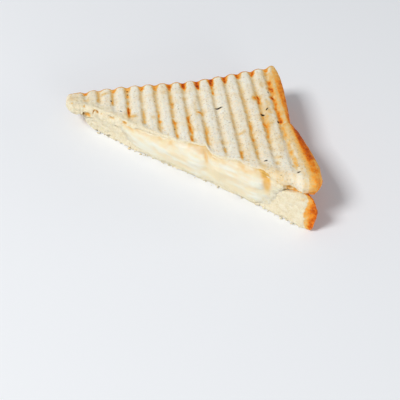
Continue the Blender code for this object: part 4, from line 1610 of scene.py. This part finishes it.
@dataclass(frozen=True)
class Tree:
    """A shader tree that is being filled: adds nodes, sets their sockets and joins them."""

    tree: bpy.types.NodeTree

    def add(self, kind: str, settings: dict | None = None, **inputs: object) -> bpy.types.Node:
        """Adds a node.

        Args:
            kind: the node's type, without its ShaderNode prefix.
            settings: the node's own properties.
            **inputs: plain values for its sockets, by socket name with underscores for spaces.

        Returns:
            The node.
        """
        node = self.tree.nodes.new("ShaderNode" + kind)
        for name, value in (settings or {}).items():
            setattr(node, name, value)
        for name, value in inputs.items():
            node.inputs[name.replace("_", " ")].default_value = value
        return node

    def ends(self) -> tuple[bpy.types.Node, bpy.types.Node]:
        """The input and output nodes of a shared group."""
        return self.tree.nodes.new("NodeGroupInput"), self.tree.nodes.new("NodeGroupOutput")

    def use(self, group: bpy.types.NodeTree, **inputs: float) -> bpy.types.Node:
        """Places a shared group.

        Args:
            group: the group.
            **inputs: plain values for its sockets.

        Returns:
            The group's node.
        """
        node = self.add("Group", {"node_tree": group})
        for name, value in inputs.items():
            node.inputs[name].default_value = value
        return node

    def texture(self, kind: str, start: bpy.types.Node, scale: float, **inputs: object) -> bpy.types.Node:
        """Adds a texture to a group that has a Vector and a Fineness.

        Args:
            kind: the node's type.
            start: the group's input node.
            scale: how many of its features lie along a metre, times the fineness.
            **inputs: plain values for its other sockets.

        Returns:
            The texture's node.
        """
        node = self.add(kind, **inputs)
        self.join(start.outputs["Vector"], node.inputs["Vector"])
        self.join(self.maths("MULTIPLY", start.outputs["Fineness"], scale), node.inputs["Scale"])
        return node

    def mask(self, name: str) -> Socket:
        """The value of one of the mesh's own masks."""
        return self.add("Attribute", {"attribute_name": name}).outputs["Fac"]

    def join(self, out: Socket, into: Socket) -> None:
        """Joins two sockets."""
        self.tree.links.new(out, into)

    def wire(self, source: bpy.types.Node, target: bpy.types.Node, *names: str) -> None:
        """Joins the sockets that have the same names on two nodes."""
        for name in names:
            self.join(source.outputs[name], target.inputs[name])

    def feed(self, value: object, socket: Socket) -> None:
        """Gives a socket its value.

        Args:
            value: another socket, which is joined to it, or a plain value.
            socket: the socket that takes it.
        """
        if isinstance(value, bpy.types.NodeSocket):
            self.join(value, socket)
        else:
            socket.default_value = value

    def maths(self, operation: str, first: object, second: object, clamp: bool = False) -> Socket:
        """A Math node.

        Args:
            operation: what it works out.
            first: a socket or a number.
            second: a socket or a number.
            clamp: whether the result is held to 0..1.

        Returns:
            The result's socket.
        """
        node = self.add("Math", {"operation": operation, "use_clamp": clamp})
        self.feed(first, node.inputs[0])
        self.feed(second, node.inputs[1])
        return node.outputs[0]

    def blend(self, share: object, first: object, second: object, mode: str = "MIX") -> Socket:
        """A blend of two colours.

        Args:
            share: how much of the second, a socket or a number.
            first: a socket or a colour.
            second: a socket or a colour.
            mode: how they are blended.

        Returns:
            The blended colour's socket.
        """
        node = self.add("Mix", {"data_type": "RGBA", "blend_type": mode})
        self.feed(share, node.inputs["Factor"])
        for name, value in (("A", first), ("B", second)):
            socket = [s for s in node.inputs if s.name == name and s.type == "RGBA"][0]
            self.feed((*value, 1) if isinstance(value, tuple) else value, socket)
        return [s for s in node.outputs if s.type == "RGBA"][0]

    def rescale(self, value: Socket, low: float, high: float, to_low: float, to_high: float) -> Socket:
        """Maps one range to another, held at both ends.

        Args:
            value: the socket whose value is mapped.
            low: the value that becomes to_low.
            high: the value that becomes to_high.
            to_low: the result at low.
            to_high: the result at high.

        Returns:
            The result's socket.
        """
        limits = {"From_Min": low, "From_Max": high, "To_Min": to_low, "To_Max": to_high}
        node = self.add("MapRange", {"clamp": True}, **limits)
        self.join(value, node.inputs["Value"])
        return node.outputs["Result"]


def new_material(name: str, **inputs: object) -> tuple[bpy.types.Material, Tree, bpy.types.Node]:
    """A new material.

    Args:
        name: its name.
        **inputs: plain values for its shader's sockets, by socket name with underscores for spaces.

    Returns:
        The material, its tree and its shader.
    """
    material = bpy.data.materials.new(name)
    material.use_nodes = True
    shader = material.node_tree.nodes["Principled BSDF"]
    for socket, value in inputs.items():
        shader.inputs[socket.replace("_", " ")].default_value = value
    return material, Tree(material.node_tree), shader


class SharedEffects:
    """Shader groups that more than one finish uses."""

    def __init__(self) -> None:
        """Builds each group once."""
        self.grain = self.make_grain()
        self.toasting = self.make_toasting()
        self.crumb = self.make_crumb()

    @staticmethod
    def group(name: str, inputs: dict[str, str], outputs: dict[str, str]) -> bpy.types.NodeTree:
        """An empty group with named sockets.

        Args:
            name: the group's name.
            inputs: the kind of each input, by its name.
            outputs: the kind of each output, by its name.

        Returns:
            The group.
        """
        tree = bpy.data.node_groups.new(name, "ShaderNodeTree")
        for way, sockets in (("INPUT", inputs), ("OUTPUT", outputs)):
            for label, kind in sockets.items():
                tree.interface.new_socket(name=label, in_out=way, socket_type="NodeSocket" + kind)
        return tree

    def make_grain(self) -> bpy.types.NodeTree:
        """Bread grain: slow mottling, fine speckle, small pores, sparse specks and the height of them all.

        Returns:
            The group.
        """
        tree = self.group(
            "bread_grain",
            {"Vector": "Vector", "Fineness": "Float"},
            {"Mottle": "Float", "Speckle": "Float", "Pores": "Float", "Specks": "Float", "Height": "Float"},
        )
        t = Tree(tree)
        start, end = t.ends()
        mottle = t.texture("TexNoise", start, 300.0, Detail=3.0, Roughness=0.6).outputs["Fac"]
        speckle = t.texture("TexNoise", start, 1500.0, Detail=2.0, Roughness=0.6).outputs["Fac"]
        cells = t.texture("TexVoronoi", start, 620.0, Randomness=1.0)
        holes = t.rescale(cells.outputs["Distance"], 0.16, 0.42, 1.0, 0.0)
        chosen = t.rescale(speckle, 0.42, 0.60, 0.0, 1.0)
        pores = t.maths("MULTIPLY", holes, chosen)
        height = t.maths("SUBTRACT", t.maths("MULTIPLY", speckle, 0.6), t.maths("MULTIPLY", pores, 0.7))
        sparse = t.texture("TexVoronoi", start, 230.0, Randomness=1.0)
        near = t.rescale(sparse.outputs["Distance"], 0.05, 0.10, 1.0, 0.0)
        picked = t.maths("GREATER_THAN", sparse.outputs["Color"], 0.70)
        t.join(t.maths("MULTIPLY", near, picked), end.inputs["Specks"])
        t.join(mottle, end.inputs["Mottle"])
        t.join(speckle, end.inputs["Speckle"])
        t.join(pores, end.inputs["Pores"])
        t.join(height, end.inputs["Height"])
        return tree

    def make_toasting(self) -> bpy.types.NodeTree:
        """Toasting: turns a browning share into the colours from pale bread to dark crust.

        Returns:
            The group.
        """
        tree = self.group(
            "toasting",
            {"Toast": "Float", "Mottle": "Float", "Speckle": "Float"},
            {"Color": "Color", "Roughness": "Float"},
        )
        t = Tree(tree)
        start, end = t.ends()
        slow = t.rescale(start.outputs["Mottle"], 0.3, 0.7, -0.06, 0.06)
        fine = t.rescale(start.outputs["Speckle"], 0.3, 0.7, -0.07, 0.07)
        share = t.maths("ADD", t.maths("ADD", start.outputs["Toast"], slow), fine, clamp=True)
        ramp = t.add("ValToRGB")
        stops = (
            (0.0, tint(240, 237, 224)), (0.12, tint(238, 226, 200)), (0.25, tint(230, 204, 156)),
            (0.36, tint(233, 190, 120)), (0.48, tint(237, 172, 80)), (0.60, tint(236, 143, 40)),
            (0.72, tint(214, 104, 14)), (0.84, tint(174, 64, 8)), (1.0, tint(84, 30, 8)),
        )
        bar = ramp.color_ramp
        while len(bar.elements) < len(stops):
            bar.elements.new(0.5)
        for element, (place, colour) in zip(bar.elements, stops):
            element.position = place
            element.color = (*colour, 1)
        t.join(share, ramp.inputs["Fac"])
        t.join(ramp.outputs["Color"], end.inputs["Color"])
        t.join(t.rescale(share, 0.1, 0.7, 0.85, 0.6), end.inputs["Roughness"])
        return tree

    def make_crumb(self) -> bpy.types.NodeTree:
        """Cut crumb: pale cream, greyer in slow patches, with small shaded holes.

        Returns:
            The group.
        """
        tree = self.group("cut_crumb", dict.fromkeys(GRAIN, "Float"), {"Color": "Color"})
        t = Tree(tree)
        start, end = t.ends()
        slow = t.rescale(start.outputs["Mottle"], 0.35, 0.68, 0.0, 1.0)
        face = t.blend(slow, tint(228, 219, 193), tint(220, 205, 168))
        face = t.blend(t.rescale(start.outputs["Speckle"], 0.38, 0.66, 0.0, 0.5), face, tint(240, 234, 215))
        face = t.blend(t.maths("MULTIPLY", start.outputs["Pores"], 0.35), face, tint(196, 172, 128))
        t.join(face, end.inputs["Color"])
        return tree


@dataclass(frozen=True)
class BreadFinish:
    """Toasted white bread: pale pressed face, browned grooves and crust, open crumb where it is cut."""

    name: str
    effects: SharedEffects
    pore_shade: Colour = tint(176, 148, 104)
    speck: Colour = tint(104, 76, 48)
    specks_and_hole_shade: Colour = tint(52, 36, 22)
    gloss: float = 0.12
    glow: float = 0.10
    glow_reach: Triple = (0.0018, 0.0012, 0.0007)
    bump: float = 0.6
    bump_depth: float = 0.0005

    def make(self) -> bpy.types.Material:
        """Builds the material: browning and crumb from the masks, painted shade in the pores, and bump from
        the grain.

        Returns:
            The material.
        """
        material, t, shader = new_material(
            self.name,
            Metallic=0.0,
            Specular_IOR_Level=self.gloss,
            Subsurface_Weight=self.glow,
            Subsurface_Radius=self.glow_reach,
            Subsurface_Scale=1.0,
        )
        grain = t.use(self.effects.grain, Fineness=1.0)
        t.join(t.add("TexCoord").outputs["Object"], grain.inputs["Vector"])
        toasting = t.use(self.effects.toasting)
        t.join(t.mask("toast"), toasting.inputs["Toast"])
        t.wire(grain, toasting, "Mottle", "Speckle")
        crumb = t.use(self.effects.crumb)
        t.wire(grain, crumb, *GRAIN)
        # Painted shade in the small pores
        pores = t.maths("MULTIPLY", grain.outputs["Pores"], 0.45)
        face = t.blend(pores, toasting.outputs["Color"], self.pore_shade)
        shade = t.rescale(grain.outputs["Speckle"], 0.34, 0.66, 0.88, 1.05)
        face = t.blend(1.0, face, shade, "MULTIPLY")
        face = t.blend(t.maths("MULTIPLY", grain.outputs["Specks"], 0.7), face, self.speck)
        face = t.blend(t.mask("crumb"), face, crumb.outputs["Color"])
        # Dark slits and specks, and painted shade in the torn hollows, from their mask
        face = t.blend(t.rescale(t.mask("specks_and_hole_shade"), 0.12, 0.5, 0.0, 1.0), face, self.specks_and_hole_shade)
        t.join(face, shader.inputs["Base Color"])
        t.join(toasting.outputs["Roughness"], shader.inputs["Roughness"])
        bump = t.add("Bump", Strength=self.bump, Distance=self.bump_depth)
        t.join(grain.outputs["Height"], bump.inputs["Height"])
        t.join(bump.outputs["Normal"], shader.inputs["Normal"])
        return material


@dataclass(frozen=True)
class CheeseFinish:
    """Melted pale cheese: ivory, slightly glossy, tan in its folds, partly painted crease shade, and tan
    along its top edge as painted shadow.
    """

    effects: SharedEffects
    ivory: Colour = tint(231, 230, 215)
    cream: Colour = tint(232, 217, 183)
    tan: Colour = tint(226, 176, 88)
    olive: Colour = tint(176, 134, 62)
    glow: float = 0.25
    glow_reach: Triple = (0.004, 0.003, 0.0016)
    roughness: Pair = (0.42, 0.85)
    gloss: Pair = (0.30, 0.12)
    bump: float = 0.12
    bump_depth: float = 0.0006
    crumb_bump: float = 0.6
    crumb_depth: float = 0.0005

    def make(self) -> bpy.types.Material:
        """Builds the material: ivory on the lobes and cream in the hollows and low down, which is painted
        highlight and painted shade, with a soft sheen, and dull crumb at its ends.

        Returns:
            The material.
        """
        material, t, shader = new_material(
            "melted_cheese",
            Subsurface_Weight=self.glow,
            Subsurface_Radius=self.glow_reach,
            Subsurface_Scale=1.0,
        )
        place = t.add("TexCoord").outputs["Object"]
        slow = t.use(self.effects.grain, Fineness=0.45)
        grain = t.use(self.effects.grain, Fineness=1.0)
        t.join(place, slow.inputs["Vector"])
        t.join(place, grain.inputs["Vector"])
        clouds = t.rescale(slow.outputs["Mottle"], 0.3, 0.7, -0.3, 0.3)
        swell_light_and_shade = t.maths("ADD", t.mask("swell_light_and_shade"), clouds, clamp=True)
        crumb = t.use(self.effects.crumb)
        t.wire(grain, crumb, *GRAIN)
        # Ivory on the swells, cream in the hollows and low down: painted highlight and painted shade
        colour = t.blend(swell_light_and_shade, self.cream, self.ivory)
        colour = t.blend(t.mask("crumb"), colour, crumb.outputs["Color"])
        # Tan and olive from the fold mask: partly painted crease shade, and painted shadow along the top edge
        colour = t.blend(t.rescale(t.mask("fold"), 0.0, 0.7, 0.0, 1.0), colour, self.tan)
        colour = t.blend(t.rescale(t.mask("fold"), 0.66, 0.95, 0.0, 1.0), colour, self.olive)
        t.join(colour, shader.inputs["Base Color"])
        t.join(t.rescale(t.mask("crumb"), 0.0, 1.0, *self.roughness), shader.inputs["Roughness"])
        t.join(t.rescale(t.mask("crumb"), 0.0, 1.0, *self.gloss), shader.inputs["Specular IOR Level"])
        soft = t.add("Bump", Strength=self.bump, Distance=self.bump_depth)
        t.join(slow.outputs["Mottle"], soft.inputs["Height"])
        coarse = t.add("Bump", Distance=self.crumb_depth)
        t.join(t.maths("MULTIPLY", t.mask("crumb"), self.crumb_bump), coarse.inputs["Strength"])
        t.join(grain.outputs["Height"], coarse.inputs["Height"])
        t.join(soft.outputs["Normal"], coarse.inputs["Normal"])
        t.join(coarse.outputs["Normal"], shader.inputs["Normal"])
        return material


@dataclass(frozen=True)
class Lamp:
    """A square area light: place and size in metres, power in watts, colour."""

    name: str
    at: Triple
    size: float
    power: float
    colour: Colour


@dataclass(frozen=True)
class Studio:
    """Floor, soft light and the camera, which looks down on the toastie from in front."""

    form: LoafForm
    camera_at: Triple = (-102.6, -339.8, 301.7)
    right: Triple = (0.9899, -0.1346, 0.0435)
    down: Triple = (-0.0719, -0.7433, -0.6650)
    focal: float = 67.5
    aim_height: float = 0.01
    lamps: tuple[Lamp, ...] = (
        Lamp("key", (-1.26, -0.30, 1.50), 0.60, 29.6, (1.0, 0.985, 0.96)),
        Lamp("front_fill", (0.40, -1.10, 0.20), 0.60, 4.4, (1.0, 0.99, 0.97)),
        Lamp("side_fill", (1.30, -0.15, 0.12), 0.50, 5.4, (1.0, 0.99, 0.97)),
    )
    sky: Colour = (0.96, 0.98, 1.0)
    sky_strength: float = 0.32
    floor_half: float = 1500.0
    floor_drop: float = 0.05
    floor_colour: Colour = tint(238, 241, 246)
    floor_roughness: float = 0.6

    def place(self, x: float, y: float, z: float) -> Triple:
        """A place in metres from the part's origin."""
        return ((x - self.form.origin[0]) * MM, (y - self.form.origin[1]) * MM, z * MM)

    def add_camera(self) -> None:
        """The camera: its right and down directions are made square to each other by a cross product."""
        right = np.array(self.right) / np.linalg.norm(self.right)
        forward = np.cross(right, self.down)
        forward = forward / np.linalg.norm(forward)
        down = np.cross(forward, right)
        data = bpy.data.cameras.new("camera")
        data.sensor_width = 36.0
        data.lens = self.focal
        data.clip_start = 0.01
        camera = bpy.data.objects.new("camera", data)
        turn = np.eye(4)
        turn[:3, 0], turn[:3, 1], turn[:3, 2] = right, -down, -forward
        turn[:3, 3] = self.place(*self.camera_at)
        camera.matrix_world = Matrix(turn.tolist())
        bpy.context.scene.collection.objects.link(camera)
        bpy.context.scene.camera = camera

    def add_light(self, lamp: Lamp) -> None:
        """Adds a light that faces the toastie.

        Args:
            lamp: the light.
        """
        data = bpy.data.lights.new(lamp.name, "AREA")
        data.shape = "SQUARE"
        data.size = lamp.size
        data.energy = lamp.power
        data.color = lamp.colour
        light = bpy.data.objects.new(lamp.name, data)
        light.location = lamp.at
        aim = -light.location.copy()
        aim.z += self.aim_height
        light.rotation_euler = aim.to_track_quat("-Z", "Y").to_euler()
        bpy.context.scene.collection.objects.link(light)

    def add_floor(self) -> None:
        """A plain pale floor, a hair under the rest."""
        half = self.floor_half * MM
        drop = -self.floor_drop * MM
        corners = [(-half, -half, drop), (half, -half, drop), (half, half, drop), (-half, half, drop)]
        mesh = bpy.data.meshes.new("floor")
        mesh.from_pydata(corners, [], [(0, 1, 2, 3)])
        colour = (*self.floor_colour, 1)
        material, _, _ = new_material("floor", Base_Color=colour, Roughness=self.floor_roughness)
        mesh.materials.append(material)
        floor = bpy.data.objects.new("floor", mesh)
        bpy.context.scene.collection.objects.link(floor)

    def build(self) -> None:
        """Adds the floor, the lights, the pale surroundings and the camera."""
        self.add_floor()
        for lamp in self.lamps:
            self.add_light(lamp)
        world = bpy.data.worlds.new("studio")
        world.use_nodes = True
        backdrop = world.node_tree.nodes["Background"]
        backdrop.inputs["Color"].default_value = (*self.sky, 1)
        backdrop.inputs["Strength"].default_value = self.sky_strength
        bpy.context.scene.world = world
        bpy.context.scene.view_settings.view_transform = "Standard"
        self.add_camera()


def main() -> None:
    """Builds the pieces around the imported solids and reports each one."""
    logging.basicConfig(level=logging.INFO, format="%(name)s: %(message)s")
    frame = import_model()
    LOG.info("solids: %s", ", ".join(sorted(frame["nodes"])))
    form = LoafForm()
    effects = SharedEffects()
    browning = Browning(form)
    upper = BreadSlice(form, SliceKind.UPPER, browning)
    rows = {"front_rows": 44, "middle_rows": 60, "wall_rows": 28}
    lower = BreadSlice(form, SliceKind.LOWER, browning, column_pitch=0.6, coarse=1, **rows)
    lower_finish = BreadFinish("toasted_bottom", effects).make()
    pieces = [
        upper.build(BreadFinish("toasted_top", effects).make()),
        lower.build(lower_finish),
        CheeseLayer(form).build(CheeseFinish(effects).make()),
        LooseCrumbs(form).build(lower_finish),
    ]
    Studio(form).build()
    for piece in pieces:
        LOG.info("%s: %d faces", piece.name, len(piece.data.polygons))


if __name__ == "__main__":
    main()
